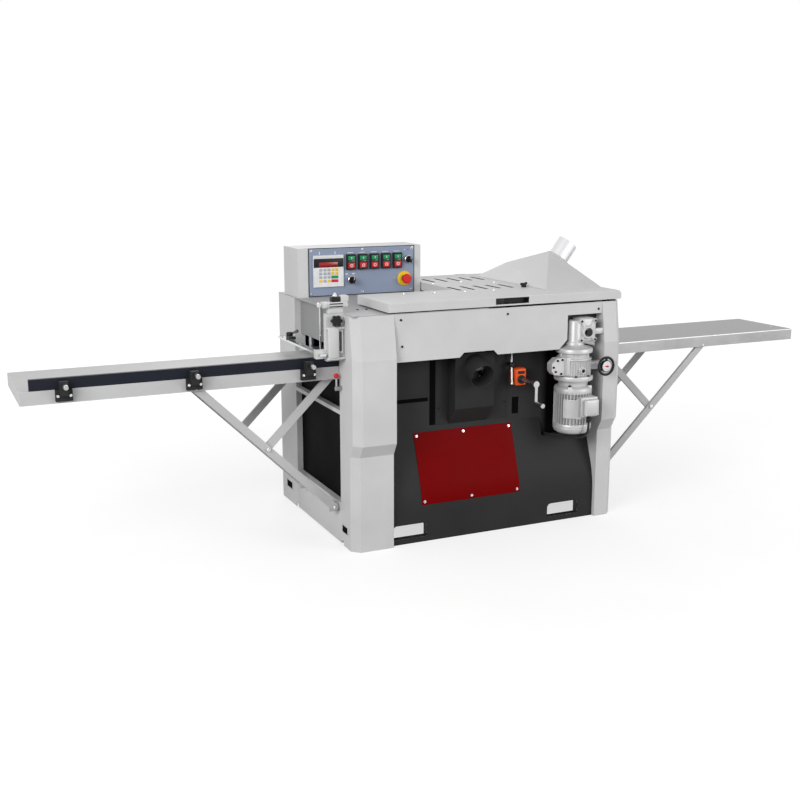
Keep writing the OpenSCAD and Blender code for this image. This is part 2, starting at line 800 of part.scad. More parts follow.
// Keypad and display bezel
module display_unit() {
  x0 = panel_x0 + 16;
  z0 = panel_z1 - 156;
  t = 8;
  color("#e9eaea") difference() {
    block([x0, panel_y - t, z0], [x0 + 131, panel_y, z0 + 129]);
    block([x0 + 8, panel_y - t - eps, z0 + 88], [x0 + 123, panel_y - t + 2, z0 + 122]);
  }
}

// Station housings, selector rings and the emergency stop's neck
module switch_bodies() {
  color(black) {
    for (x = station_x) difference() {
      block([x - station_w / 2, panel_y - station_t, station_z - station_h / 2], [x + station_w / 2, panel_y, station_z + station_h / 2]);
      for (s = [-1, 1]) translate([x, panel_y - station_t - eps, station_z + s * key_off])
        block([-key_w / 2 - key_gap, 0, -key_h / 2 - key_gap], [key_w / 2 + key_gap, station_t - 2 + eps, key_h / 2 + key_gap]);
    }
    for (p = concat(selector_at, [estop_at])) translate([p[0], panel_y - neck_h, p[1]]) difference() {
      rod_y(neck_r, neck_h);
      translate([0, -eps, 0]) rod_y(stem_r + run, neck_h + 2 * eps);
    }
  }
}

// One push button, at rest stands proud of its housing
module push_button(i, side, tint) {
  proud = 4;
  color(tint) translate([station_x[i], panel_y - station_t - proud, station_z + side * key_off])
    block([-key_w / 2, 0, -key_h / 2], [key_w / 2, proud + station_t - 2 - press - key_gap, key_h / 2]);
}

module selector(i) {
  p = selector_at[i];
  color(black) translate([p[0], panel_y - neck_h, p[1]]) {
    rod_y(stem_r, neck_h + 2);
    translate([0, -6.3, 0]) rod_y(neck_r - 2, 6);
    block([-4, -22, -neck_r + 3], [4, -6.3, neck_r - 3]);
    translate([0, -0.3, 0]) rod_y(stem_r, 1);
  }
}

module estop_button() {
  stem = 8;
  cap = 14;
  color("#c8161d") translate([estop_at[0], panel_y - neck_h, estop_at[1]]) {
    translate([0, -stem, 0]) rod_y(stem_r, stem + neck_h);
    translate([0, -stem - cap, 0]) rotate([-90, 0, 0]) rotate_extrude() polygon([
      [0, 0], [mushroom_r - 6, 0], [mushroom_r - 2, 2], [mushroom_r, 6], [mushroom_r, cap - 3], [mushroom_r - 2, cap], [0, cap]
    ]);
  }
}

// Folded table open underneath, with end plates, cross ribs and a centre web; its inner end at x = 0
module table_shell(length, w) {
  bay_w = (w - table_wall) / 2;
  ribs = ceil((length - 2 * table_wall) / rib_pitch);
  difference() {
    block([0, 0, bed_z], [length, w, table_z]);
    for (i = [0 : ribs - 1], k = [0, 1])
      block(
        [i * rib_pitch + table_wall, table_wall + k * bay_w, bed_z - eps],
        [min((i + 1) * rib_pitch, length - table_wall), (k + 1) * bay_w, table_z - table_wall]
      );
  }
}

module infeed_table() {
  color(light_grey) translate([xl + sheet, table_y, 0]) mirror([1, 0, 0]) table_shell(infeed_l + sheet, infeed_w);
}

module outfeed_table() {
  hole_in = 40;
  color(steel) difference() {
    translate([xr - sheet, table_y, 0]) table_shell(outfeed_l + sheet, outfeed_w);
    translate([xr + outfeed_l - hole_in, table_y + outfeed_w / 4, bed_z]) cylinder(r = 6, h = table_t + eps);
  }
}

// Flat bar with round ends between two points in X and Z, one face at y
module bar(a, b, y, thick) {
  d = b - a;
  translate([a[0], y, a[1]]) rotate([0, -atan2(d[1], d[0]), 0]) {
    block([0, 0, -brace_w / 2], [norm(d), thick, brace_w / 2]);
    rod_y(brace_w / 2, thick);
    translate([norm(d), 0, 0]) rod_y(brace_w / 2, thick);
  }
}

bolt_r = 9;
bolt_h = 5;

// Struts, links and lugs of one table, front pair; out is the distance from the cabinet end
module brace_pair(y, dir) {
  foot = [-20, low_rail_z + 19];
  pivot = [-brace_reach, brace_z];
  head = [-brace_reach * 2 + 20, bed_z + 8];
  link_top = [-26, bed_z + 8];
  back = dir > 0 ? y + brace_t + run : y - brace_t - run;
  lug_t = 8;
  y0 = dir > 0 ? y : y - brace_t;
  y1 = dir > 0 ? back : back - brace_t;
  bar(foot, head, y0, brace_t);
  bar(pivot, link_top, y1, brace_t);
  translate([foot[0] - 18, dir > 0 ? back : back - lug_t, foot[1] - 19]) cube([18 - foot[0], lug_t, 38]);
  for (p = [foot, pivot, head])
    translate([p[0], dir > 0 ? y0 - bolt_h : y0 + brace_t, p[1]]) rod_y(bolt_r, bolt_h);
}

module brace_set(w) {
  inner = table_wall + bolt_h;
  brace_pair(table_y + inner, 1);
  brace_pair(table_y + w - inner, -1);
}

module table_braces() {
  color(light_grey) {
    translate([xl, 0, 0]) brace_set(infeed_w);
    translate([xr, 0, 0]) mirror([1, 0, 0]) brace_set(outfeed_w);
  }
}

clamp_z = table_z + 17;
clamp_d = 32;

// Three blocks on the table's front side that guide the fence rods
module fence_clamps() {
  foot_h = 40;
  foot_d = 14;
  screw_head = 6;
  color(black) for (c = clamp_x) translate([xl - c, table_y, 0]) difference() {
    union() {
      block([-clamp_w / 2, -foot_d, table_z - foot_h], [clamp_w / 2, 0, table_z]);
      block([-clamp_w / 4, -clamp_d, table_z - foot_h / 2], [clamp_w / 4, -key_gap, clamp_z + fence_rod_r + 5]);
      for (s = [-1, 1]) translate([s * clamp_w * 0.37, -foot_d - 4, table_z - foot_h / 2]) rod_y(screw_head, 5);
    }
    translate([0, -clamp_d - eps, clamp_z]) rod_y(fence_rod_r + run, clamp_d + 2 * eps);
  }
}

// Upright fence bar with the three rods that slide in the clamps
module infeed_fence() {
  rod_out = 58;
  color(black) {
    block([xl - fence_l, table_y, table_z + run], [xl - gap, fence_y, table_z + fence_h]);
    for (c = clamp_x) translate([xl - c, table_y - rod_out, clamp_z]) rod_y(fence_rod_r, rod_out + 1);
  }
}

guide_x = xl - 90;
guide_z = table_z + 59;
bar_w = 24;
bar_t = 8;
press_y = yf + 80;
press_t = 25;

// Slotted bar across the infeed table with its clamp block
module infeed_guide_bar() {
  y0 = press_y - 20;
  y1 = yf + 542;
  lever_y = yf + 433;
  color(steel) difference() {
    union() {
      block([guide_x - bar_w / 2, y0, guide_z - bar_t / 2], [guide_x + bar_w / 2, y1, guide_z + bar_t / 2]);
      block([guide_x - 20, lever_y - 16, guide_z + bar_t / 2], [guide_x + 20, lever_y + 16, guide_z + bar_t / 2 + 14]);
      translate([guide_x, lever_y, guide_z]) cylinder(r = 6, h = 30);
    }
    translate([guide_x, press_y + 60, guide_z - bar_t]) linear_extrude(2 * bar_t - bar_t / 2 - 0.1) slot_outline(9, lever_y - press_y - 100);
  }
}

// Clamp lever: hub with a turned cross handle, ball ends
module guide_lever() {
  lever_y = yf + 433;
  z = guide_z + bar_t / 2 + 14.3;
  arm = 46;
  arm_r = 4;
  ball_r = 8;
  hub_r = 12;
  neck = sqrt(ball_r * ball_r - arm_r * arm_r);
  color(steel) translate([guide_x, lever_y, z]) difference() {
    union() {
      cylinder(r = hub_r, h = 14);
      translate([0, 0, 7]) rotate([0, 90, 35]) for (s = [0, 1]) mirror([0, 0, s]) {
        cylinder(r = arm_r, h = arm - neck + 1);
        translate([0, 0, arm - ball_r]) cylinder(r = ball_r, h = 2 * ball_r - 3);
        translate([0, 0, arm + ball_r - 3]) cylinder(r1 = ball_r, r2 = ball_r - 3, h = 3);
      }
    }
    translate([0, 0, -eps]) cylinder(r = 6 + run, h = 13);
  }
}

roller_c = [xl - 34, press_y + press_t / 2, table_z + 104];

// Side unit on the left post: slotted plate, roller window and arm of the guide bar
module side_pressure_bracket() {
  x0 = xl - 70;
  z0 = table_z + 32;
  z1 = table_z + 206;
  cage_w = 46;
  cage_h = 74;
  color(light_grey) difference() {
    union() {
      block([x0, press_y, z0], [xl, press_y + press_t, z1]);
      block([guide_x - bar_w / 2 - 8, press_y, guide_z - 16], [x0 + eps, press_y + press_t, guide_z + 16]);
      translate([roller_c[0], press_y - 8, roller_c[2] - cage_h / 2 - 8]) block([-cage_w / 2 - 5, 0, 0], [cage_w / 2 + 5, 9, cage_h + 16]);
    }
    translate([roller_c[0], 0, roller_c[2]]) block([-cage_w / 2, press_y - 9, -cage_h / 2], [cage_w / 2, press_y + press_t + eps, cage_h / 2]);
    translate([roller_c[0], roller_c[1], roller_c[2] - cage_h]) cylinder(r = 5 + run, h = 2 * cage_h);
    block([guide_x - bar_w / 2 - run, press_y - eps, guide_z - bar_t / 2 - run], [guide_x + bar_w / 2 + run, press_y + press_t + eps, guide_z + bar_t / 2 + run]);
    translate([xl - 35, press_y - eps, z1 - 24]) rod_y(6 + run, press_t + 2 * eps);
  }
}

module side_roller() {
  h = 70;
  color(black) translate(roller_c) {
    translate([0, 0, -h / 2]) cylinder(r = 20, h = h);
    translate([0, 0, -h / 2 - 11]) cylinder(r = 5, h = h + 22);
  }
}

module star_knob() {
  z = table_z + 206 - 24;
  color(black) translate([xl - 35, press_y, z]) {
    translate([0, -10, 0]) rod_y(6, 10 + press_t);
    translate([0, -24, 0]) rod_y(16, 16);
    for (a = [0 : 60 : 300]) rotate([0, a, 0]) translate([15, -24, 0]) rod_y(6.5, 14);
  }
}

// Lever with a ball knob on the left post
module depth_lever() {
  y = table_y - 22;
  z = table_z - 80;
  color("#c8161d") translate([xl - 24, y, z]) {
    rod_x(9, 23.7);
    translate([4, 0, 0]) cylinder(r = 4, h = 46);
    translate([4, 0, 48]) sphere(r = 10);
  }
}

// Flange motors of the bottom head and the right head
module spindle_motors() {
  len_m = 110;
  color(iron) {
    translate([bottom_x, bed_back, bottom_z]) difference() {
      rod_y(60, 150);
      translate([0, -eps, 0]) rod_y(head_shaft_r + run, 40);
    }
    translate([right_x, right_y, bed_z - len_m]) difference() {
      cylinder(r = motor_r, h = len_m);
      translate([0, 0, len_m - 40]) cylinder(r = spindle_r + run, h = 40 + eps);
    }
  }
}

// Outline with bevelled upper corners
function bevelled(u0, u1, z0, z1, b0, b1) =
  [[u0, z0], [u0, z1 - b0], [u0 + b0, z1], [u1 - b1, z1], [u1, z1 - b1], [u1, z0]];

// Solid form of the lid inset by t
module lid_form(t) {
  z0 = lid_z - t;
  ends = [[lid_x0 + t, step_x, lid_y0 + wing_d], [step_x + t, lid_x1 - t, lid_y1]];
  intersection() {
    union() for (e = ends) translate([e[0], 0, 0]) along_x(e[1] - e[0])
      polygon(bevelled(lid_y0 + t, e[2] - t, z0, lid_top - t, lid_bevel, lid_t));
    translate([0, lid_y0, 0]) along_y(lid_y1 - lid_y0)
      polygon(bevelled(lid_x0 + t, lid_x1 - t, z0, lid_top - t, lid_bevel, lid_end_bevel));
  }
}

hood_x0 = 305;
hood_x1 = lid_x1 - 15;
hood_y0 = yf + 120;
hood_y1 = yf + 700;
handle_x = [3, 150];
handle_z = [lid_z + 6, lid_top - lid_bevel - 2];
knob_at = [276, yf + 246];

// Sheet lid with two rows of slots, the handle opening and the hood opening
module lid() {
  rim = 14;
  color(light_grey) difference() {
    union() {
      difference() {
        lid_form(0);
        lid_form(lid_t);
      }
      for (x = hinge_x) {
        translate([x - hinge_w / 2, hinge_y, hinge_z]) rod_x(hinge_out, hinge_w);
        block([x - hinge_w / 2, lid_y1 - lid_t, hinge_z - hinge_out], [x + hinge_w / 2, hinge_y, hinge_z]);
      }
      translate([knob_at[0], knob_at[1], lid_top - lid_t]) cylinder(r = 10, h = lid_t);
    }
    for (x = hinge_x) translate([x - hinge_w / 2 - eps, hinge_y, hinge_z]) rod_x(hinge_r + run, hinge_w + 2 * eps);
    for (i = [0 : 4]) {
      translate([step_x + 14 + i * slot_pitch, yf + 255, lid_top - 2 * lid_t]) linear_extrude(3 * lid_t) slot_outline(slot_w, slot_l);
      translate([step_x + 50 + i * slot_pitch, yf + 565, lid_top - 2 * lid_t]) linear_extrude(3 * lid_t) slot_outline(slot_w, slot_l);
    }
    block([handle_x[0], lid_y0 - eps, handle_z[0]], [handle_x[1], lid_y0 + 2 * lid_t, handle_z[1]]);
    block([hood_x0 + rim, hood_y0 + rim, lid_z], [hood_x1 - rim, hood_y1 - rim, lid_top + eps]);
    translate([knob_at[0], knob_at[1], lid_z]) cylinder(r = 5 + run, h = lid_h + eps);
  }
}

duct_root = [540, yf + 420, lid_top + 92];
duct_lean = 37;
duct_l = 85;

// Solid form of the hood inset by t
module hood_form(t) {
  ridge = [lid_x1 - 185, yf + 585, lid_top + 68];
  hull() {
    block([hood_x0 + t, hood_y0 + t, lid_top - t], [hood_x1 - t, hood_y1 - t, lid_top + 2 - t]);
    translate(ridge - [0, 0, t]) cylinder(r = 6, h = 1, $fn = 24);
    translate(duct_root) rotate([0, duct_lean, 0]) translate([0, 0, -t - 2]) cylinder(r = spout_r + 3 - t, h = 2, $fn = 48);
  }
}

// Chip hood over the top head with its round duct
module dust_hood() {
  t = 2;
  color(light_grey) difference() {
    union() {
      difference() {
        hood_form(0);
        hood_form(t);
      }
      translate(duct_root) rotate([0, duct_lean, 0]) translate([0, 0, -4]) cylinder(r = spout_r, h = duct_l + 4);
    }
    translate(duct_root) rotate([0, duct_lean, 0]) translate([0, 0, -8]) cylinder(r = spout_r - spout_t, h = duct_l + 8 + eps);
  }
}

// Recessed pull let into the lid's front
module lid_handle() {
  x0 = handle_x[0] + key_gap;
  x1 = handle_x[1] - key_gap;
  z0 = handle_z[0] + key_gap;
  z1 = handle_z[1] - key_gap;
  depth = 22;
  t = 2.5;
  color(black) difference() {
    block([x0, lid_y0, z0], [x1, lid_y0 + depth, z1]);
    block([x0 + t, lid_y0 - eps, z0 + t], [x1 - t, lid_y0 + depth - t, z1 - t]);
  }
}

module lid_knob() {
  color(black) translate([knob_at[0], knob_at[1], lid_top + key_gap]) {
    cylinder(r = 9, h = 14);
    for (a = [0, 180]) rotate([0, 0, a + 30]) translate([6, -3, 4]) cube([18, 6, 16]);
    translate([0, 0, -14]) cylinder(r = 5, h = 15);
  }
}

// Carriage on four bushes: two beams, cross bars and the top head's motor
module head_carriage() {
  half = tube / 2;
  beam_y = [guide_front_y, guide_back_y];
  color(iron) difference() {
    union() {
      for (y = beam_y) {
        block([-upright_x, y - beam_t / 2, beam_z0], [upright_x, y + beam_t / 2, beam_z1]);
        for (x = [-upright_x, upright_x]) block([x - half, y - half, beam_z0], [x + half, y + half, beam_z1]);
      }
      for (x = [-upright_x, upright_x]) block([x - 10, guide_front_y, beam_z1 - 20], [x + 10, guide_back_y, beam_z1]);
      translate([top_x, guide_back_y, top_z]) rod_y(55, 130);
    }
    for (x = [-upright_x, upright_x], y = beam_y) translate([x, y, beam_z0 - eps]) cylinder(r = guide_r + run, h = beam_z1 - beam_z0 + 2 * eps);
    for (x = roller_x, y = beam_y) translate([x, y - half, roller_z]) rod_y(roller_shaft_r + run, tube);
    translate([top_x, guide_front_y - half, top_z]) rod_y(head_shaft_r + run, tube);
    translate([top_x, guide_back_y - half, top_z]) rod_y(head_shaft_r + run, half + 40);
  }
}

// Cutterhead on its shaft along +Z: body with four knives standing proud
module cutterhead(r, length) {
  body_r = r - knife_out;
  knife_t = 4;
  difference() {
    cylinder(r = body_r, h = length);
    for (a = [0 : 90 : 270]) rotate([0, 0, a]) translate([body_r - 12, knife_t / 2, -eps]) cube([24, 9, length + 2 * eps]);
  }
  for (a = [0 : 90 : 270]) rotate([0, 0, a]) translate([body_r - 16, -knife_t / 2, 0])
    cube([sqrt(r * r - knife_t * knife_t / 4) - body_r + 16, knife_t, length]);
}

// Horizontal head between y0 and y1 with shaft ends
module flat_head(x, z, shaft_y0, shaft_y1) {
  color(steel) translate([x, 0, z]) {
    translate([0, cut_y0, 0]) rotate([-90, 0, 0]) cutterhead(head_r, cut_y1 - cut_y0 - 10);
    translate([0, shaft_y0, 0]) rod_y(head_shaft_r, shaft_y1 - shaft_y0);
  }
}

module top_cutterhead() {
  flat_head(top_x, top_z, guide_front_y - beam_t / 2, guide_back_y + 36);
}

module bottom_cutterhead() {
  flat_head(bottom_x, bottom_z, bed_front, bed_back + 36);
}

// Side head: cutter above the table on a spindle that reaches down by drop
module side_head(x, y, drop) {
  lift = 2;
  color(steel) translate([x, y, table_z]) {
    translate([0, 0, lift]) cutterhead(side_r, side_h - lift);
    translate([0, 0, -drop]) cylinder(r = spindle_r, h = drop + lift + eps);
    translate([0, 0, lift - 30]) cylinder(r = side_r - 14, h = 30);
    translate([0, 0, side_h]) cylinder(r = 16, h = 6, $fn = 6);
  }
}

module right_cutterhead() {
  side_head(right_x, right_y, table_t + 36);
}

slide_h = 30;
slide_top = crank_z + slide_h / 2;

// Slide of the left head: nut block on two rods with the flange motor below
module left_head_slide() {
  half_y = 55;
  motor_h = 96;
  x0 = slide_rod_x[0] - 17;
  x1 = slide_rod_x[1] + 17;
  color(iron) translate([0, left_y, 0]) difference() {
    union() {
      block([x0, -half_y, slide_top - slide_h], [x1, half_y, slide_top]);
      translate([left_x, 0, slide_top - slide_h - motor_h]) cylinder(r = motor_r, h = motor_h + eps);
    }
    for (x = slide_rod_x) translate([x, -half_y - eps, crank_z]) rod_y(slide_rod_r + run, 2 * half_y + 2 * eps);
    translate([crank_x, -half_y - eps, crank_z]) rod_y(screw_r + run, 2 * half_y + 2 * eps);
    translate([left_x, 0, slide_top - slide_h - 20]) cylinder(r = spindle_r + run, h = slide_h + 20 + eps);
  }
}

module left_cutterhead() {
  side_head(left_x, left_y, table_z - slide_top + slide_h + 10);
}

// Feed roller with its shaft between the carriage beams
module feed_roller(i) {
  end_y = guide_front_y - beam_t / 2;
  flutes = 20;
  color(steel) translate([roller_x[i], 0, roller_z]) {
    translate([0, end_y, 0]) rod_y(roller_shaft_r, guide_back_y + beam_t / 2 - end_y);
    translate([0, cut_y0, 0]) difference() {
      rod_y(roller_r, cut_y1 - cut_y0 - 10);
      for (a = [0 : flutes - 1]) rotate([0, a * 360 / flutes, 0]) translate([roller_r, -eps, 0]) rod_y(2, cut_y1 - cut_y0);
    }
  }
}

// Output shaft in the gearbox's hollow worm wheel
module drive_shaft() {
  color(steel) translate([gear_x, gear_front - 4, roller_z]) {
    rod_y(drive_r, gear_back - gear_front + 6);
    translate([0, -3, 0]) rod_y(drive_r + 4, 3 + 4 - key_gap);
  }
}

module speed_handwheel() {
  spokes = 3;
  rim_r = 5;
  color(black) translate([wheel_x, wheel_y, wheel_z]) {
    translate([0, -4, 0]) rotate([-90, 0, 0]) rotate_extrude() translate([wheel_r - rim_r, 4]) circle(r = rim_r);
    translate([0, -6, 0]) rod_y(24, 12);
    for (i = [0 : spokes - 1]) rotate([0, 360 / spokes * i + 30, 0]) translate([0, -3, -4]) cube([wheel_r - rim_r, 6, 8]);
    rod_y(screw_r, arm_front - wheel_y + 28);
  }
}

// Width screw with its crank arm and grip
module width_crank() {
  arm = 76;
  front = recess_y - 168;
  grip_r = 9;
  color(steel) translate([crank_x, front, crank_z]) {
    rod_y(screw_r, bed_back - rib_t - front - 2);
    translate([0, -2, 0]) rod_y(13, 14);
    block([-6, -2, -arm], [6, 6, 0]);
    translate([0, -2, -arm]) rod_y(9, 8);
    translate([0, -52, -arm]) rod_y(grip_r, 51);
  }
}

base_frame();
corner_posts();
front_skirt();
front_plate();
cabinet_panels();
front_fascia();
top_deck();
machine_bed();
guide_columns();
front_dust_box();
feed_gearbox();
feed_variator();
feed_motor();
feed_motor_cable();
position_indicator();
control_box();
control_panel();
display_unit();
switch_bodies();
infeed_table();
outfeed_table();
table_braces();
fence_clamps();
infeed_guide_bar();
side_pressure_bracket();
spindle_motors();
lid();
dust_hood();
lid_handle();
lid_knob();
head_carriage();
top_cutterhead();
bottom_cutterhead();
right_cutterhead();
left_head_slide();
left_cutterhead();
for (i = [0 : 2])
  feed_roller(i);
drive_shaft();
speed_handwheel();
width_crank();
side_roller();
star_knob();
infeed_fence();
guide_lever();
depth_lever();
estop_button();
for (i = [0 : 1])
  selector(i);
for (i = [0 : 4])
  push_button(i, 1, "#1f8a3d");
for (i = [0 : 4])
  push_button(i, -1, "#c8161d");
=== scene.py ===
import json
import math

import bmesh
import bpy
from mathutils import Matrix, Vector


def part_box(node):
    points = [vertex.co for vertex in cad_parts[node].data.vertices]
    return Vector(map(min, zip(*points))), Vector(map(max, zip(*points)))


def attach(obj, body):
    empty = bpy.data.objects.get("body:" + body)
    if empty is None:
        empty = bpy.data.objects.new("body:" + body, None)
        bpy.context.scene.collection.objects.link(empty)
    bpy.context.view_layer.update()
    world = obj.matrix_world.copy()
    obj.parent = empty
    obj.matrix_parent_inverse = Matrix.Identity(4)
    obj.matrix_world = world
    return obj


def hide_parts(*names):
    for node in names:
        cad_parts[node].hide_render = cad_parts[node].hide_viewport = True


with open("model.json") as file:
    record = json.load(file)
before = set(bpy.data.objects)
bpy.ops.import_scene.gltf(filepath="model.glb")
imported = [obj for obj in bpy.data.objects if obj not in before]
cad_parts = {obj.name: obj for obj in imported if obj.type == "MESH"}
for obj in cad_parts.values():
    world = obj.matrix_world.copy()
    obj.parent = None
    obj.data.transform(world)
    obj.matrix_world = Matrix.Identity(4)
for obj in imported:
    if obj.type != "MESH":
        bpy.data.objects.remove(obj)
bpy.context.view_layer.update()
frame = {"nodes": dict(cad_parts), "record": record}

MM = 0.001
LEFT = Vector((-1, 0, 0))
RIGHT = -LEFT
FRONT = Vector((0, -1, 0))
BACK = -FRONT
UP = Vector((0, 0, 1))
DOWN = -UP


def box_mm(node):
    """Lowest and highest corner of a solid, in millimetres."""
    low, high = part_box(node)
    return low / MM, high / MM


def centre_mm(node):
    low, high = box_mm(node)
    return (low + high) / 2


def shown(name, data):
    """New object of the scene."""
    obj = bpy.data.objects.new(name, data)
    bpy.context.scene.collection.objects.link(obj)
    return obj


# Camera at the photograph's viewpoint
IMAGE_PX = 800
FOCAL_PX = 1092.81
SENSOR_MM = 36
AZIMUTH = math.radians(24.70)
PITCH = math.radians(12.43)
CAMERA_AT = Vector((-2.0642, -4.0363, 1.4592))


def add_camera():
    forward = Vector((
        math.sin(AZIMUTH) * math.cos(PITCH),
        math.cos(AZIMUTH) * math.cos(PITCH),
        -math.sin(PITCH),
    ))
    data = bpy.data.cameras.new("camera")
    data.sensor_width = SENSOR_MM
    data.lens = SENSOR_MM * FOCAL_PX / IMAGE_PX
    camera = shown("camera", data)
    camera.location = CAMERA_AT
    camera.rotation_euler = forward.to_track_quat("-Z", "Y").to_euler()
    bpy.context.scene.camera = camera


add_camera()


# Shader helpers; materials are kept by name
MATERIALS = {}
EDGE_SOURCE = (0.9, 0.995)
SHARP = 0.4 * MM


def blank(name):
    """New material with an empty tree, its output and a principled shader."""
    mat = bpy.data.materials.new(name)
    MATERIALS[name] = mat
    mat.use_nodes = True
    tree = mat.node_tree
    tree.nodes.clear()
    out = tree.nodes.new("ShaderNodeOutputMaterial")
    shader = tree.nodes.new("ShaderNodeBsdfPrincipled")
    tree.links.new(shader.outputs["BSDF"], out.inputs["Surface"])
    return mat, tree, shader


def object_coords(tree, stretch=(1, 1, 1)):
    coords = tree.nodes.new("ShaderNodeTexCoord")
    mapping = tree.nodes.new("ShaderNodeMapping")
    mapping.inputs["Scale"].default_value = stretch
    tree.links.new(coords.outputs["Object"], mapping.inputs["Vector"])
    return mapping.outputs["Vector"]


def noise(tree, vector, scale, detail=3.0, roughness=0.55):
    node = tree.nodes.new("ShaderNodeTexNoise")
    node.inputs["Scale"].default_value = scale
    node.inputs["Detail"].default_value = detail
    node.inputs["Roughness"].default_value = roughness
    tree.links.new(vector, node.inputs["Vector"])
    return node.outputs["Fac"]


def spread(tree, value, low, high, source=(0.3, 0.7)):
    """Value in the source range, mapped to low and high."""
    node = tree.nodes.new("ShaderNodeMapRange")
    node.inputs["From Min"].default_value = source[0]
    node.inputs["From Max"].default_value = source[1]
    node.inputs["To Min"].default_value = low
    node.inputs["To Max"].default_value = high
    tree.links.new(value, node.inputs["Value"])
    return node.outputs["Result"]


def ramp(tree, value, *stops):
    """Colour between two stops, each a position and a colour."""
    node = tree.nodes.new("ShaderNodeValToRGB")
    for element, (position, color) in zip(node.color_ramp.elements, stops):
        element.position = position
        element.color = (*color, 1)
    tree.links.new(value, node.inputs["Fac"])
    return node.outputs["Color"]


def mix_color(tree, mask, base, color):
    """The base colour, with another colour where the mask is 1."""
    node = tree.nodes.new("ShaderNodeMix")
    node.data_type = "RGBA"
    tree.links.new(mask, node.inputs["Factor"])
    tree.links.new(base, node.inputs["A"])
    node.inputs["B"].default_value = (*color, 1)
    return node.outputs["Result"]


def blended(tree, a, b, factor, blend_type="MIX"):
    node = tree.nodes.new("ShaderNodeMix")
    node.data_type = "RGBA"
    node.blend_type = blend_type
    node.inputs["Factor"].default_value = factor
    tree.links.new(a, node.inputs["A"])
    tree.links.new(b, node.inputs["B"])
    return node.outputs["Result"]


def along(tree, vector, axis):
    """Part of a vector along an axis."""
    node = tree.nodes.new("ShaderNodeVectorMath")
    node.operation = "DOT_PRODUCT"
    node.inputs[1].default_value = axis
    tree.links.new(vector, node.inputs[0])
    return node.outputs["Value"]


def soft_edges(tree, radius):
    """Rounded normal at edges, and a mask that is 1 along them."""
    bevel = tree.nodes.new("ShaderNodeBevel")
    bevel.samples = 4
    bevel.inputs["Radius"].default_value = radius
    geometry = tree.nodes.new("ShaderNodeNewGeometry")
    dot = tree.nodes.new("ShaderNodeVectorMath")
    dot.operation = "DOT_PRODUCT"
    tree.links.new(bevel.outputs["Normal"], dot.inputs[0])
    tree.links.new(geometry.outputs["Normal"], dot.inputs[1])
    mask = spread(tree, dot.outputs["Value"], 1, 0, source=EDGE_SOURCE)
    return bevel.outputs["Normal"], mask


def bump(tree, height, depth, normal):
    node = tree.nodes.new("ShaderNodeBump")
    node.inputs["Strength"].default_value = 1.0
    node.inputs["Distance"].default_value = depth
    tree.links.new(height, node.inputs["Height"])
    tree.links.new(normal, node.inputs["Normal"])
    return node.outputs["Normal"]


def surface(tree, shader, color, edge_color, edge_radius, wear, roughness, relief, depth):
    """Link a colour with paler edges, partly wear and partly a painted highlight, a roughness that goes with
    the wear, and a relief.
    """
    normal, mask = soft_edges(tree, edge_radius)
    tree.links.new(mix_color(tree, mask, color, edge_color), shader.inputs["Base Color"])
    tree.links.new(spread(tree, wear, *roughness), shader.inputs["Roughness"])
    tree.links.new(bump(tree, relief, depth, normal), shader.inputs["Normal"])


def scaled(color, factor):
    return tuple(min(1.0, c * factor) for c in color)


def painted(name, color, roughness, peel=0.06 * MM, edge=1.25, uneven=0.05, gloss=0.25):
    """Sprayed or powder coated sheet: fine peel, faint clouding, paler edges that are partly worn paint and
    partly a painted highlight.
    """
    mat, tree, shader = blank(name)
    place = object_coords(tree)
    cloud = noise(tree, place, scale=5.0, detail=5.0)
    fine = noise(tree, place, scale=900.0, detail=2.0)
    body = ramp(tree, cloud, (0.3, scaled(color, 1 - uneven)), (0.7, scaled(color, 1 + uneven)))
    surface(tree, shader, body, scaled(color, edge), edge_radius=1.2 * MM, wear=cloud,
            roughness=(roughness - 0.05, roughness + 0.07), relief=fine, depth=peel)
    shader.inputs["Specular IOR Level"].default_value = gloss
    return mat


# Lines of brushed steel: fine across, long along one axis
LINES_X = (1, 60, 60)
LINES_Y = (60, 1, 60)


def brushed(name, color, roughness, lines=LINES_Y, depth=0.03 * MM, edge=1.15):
    """Bare steel with fine lines along one axis, faint stains, and paler edges that are partly wear and
    partly a painted highlight.
    """
    mat, tree, shader = blank(name)
    line = noise(tree, object_coords(tree, lines), scale=18.0, detail=4.0, roughness=0.7)
    stain = noise(tree, object_coords(tree), scale=9.0, detail=6.0)
    body = ramp(tree, line, (0.25, scaled(color, 0.82)), (0.75, scaled(color, 1.12)))
    shade = ramp(tree, stain, (0.35, (0.86, 0.86, 0.85)), (0.65, (1, 1, 1)))
    toned = blended(tree, body, shade, 1.0, "MULTIPLY")
    surface(tree, shader, toned, scaled(color, edge), edge_radius=0.8 * MM, wear=line,
            roughness=(roughness - 0.07, roughness + 0.1), relief=line, depth=depth)
    shader.inputs["Metallic"].default_value = 1.0
    return mat


def cast(name, color, roughness, metallic, depth, edge=1.2):
    """Casting with a sandy skin, cloudy patches, and paler edges that are partly rubbed and partly a painted
    highlight.
    """
    mat, tree, shader = blank(name)
    place = object_coords(tree)
    sand = noise(tree, place, scale=420.0, detail=4.0, roughness=0.65)
    cloud = noise(tree, place, scale=16.0, detail=5.0)
    body = ramp(tree, sand, (0.3, scaled(color, 0.84)), (0.65, scaled(color, 1.06)))
    patch = ramp(tree, cloud, (0.35, scaled(color, 0.85)), (0.65, scaled(color, 1.05)))
    both = blended(tree, body, patch, 0.5)
    surface(tree, shader, both, scaled(color, edge), edge_radius=1.5 * MM, wear=cloud,
            roughness=(roughness - 0.06, roughness + 0.08), relief=sand, depth=depth)
    shader.inputs["Metallic"].default_value = metallic
    return mat


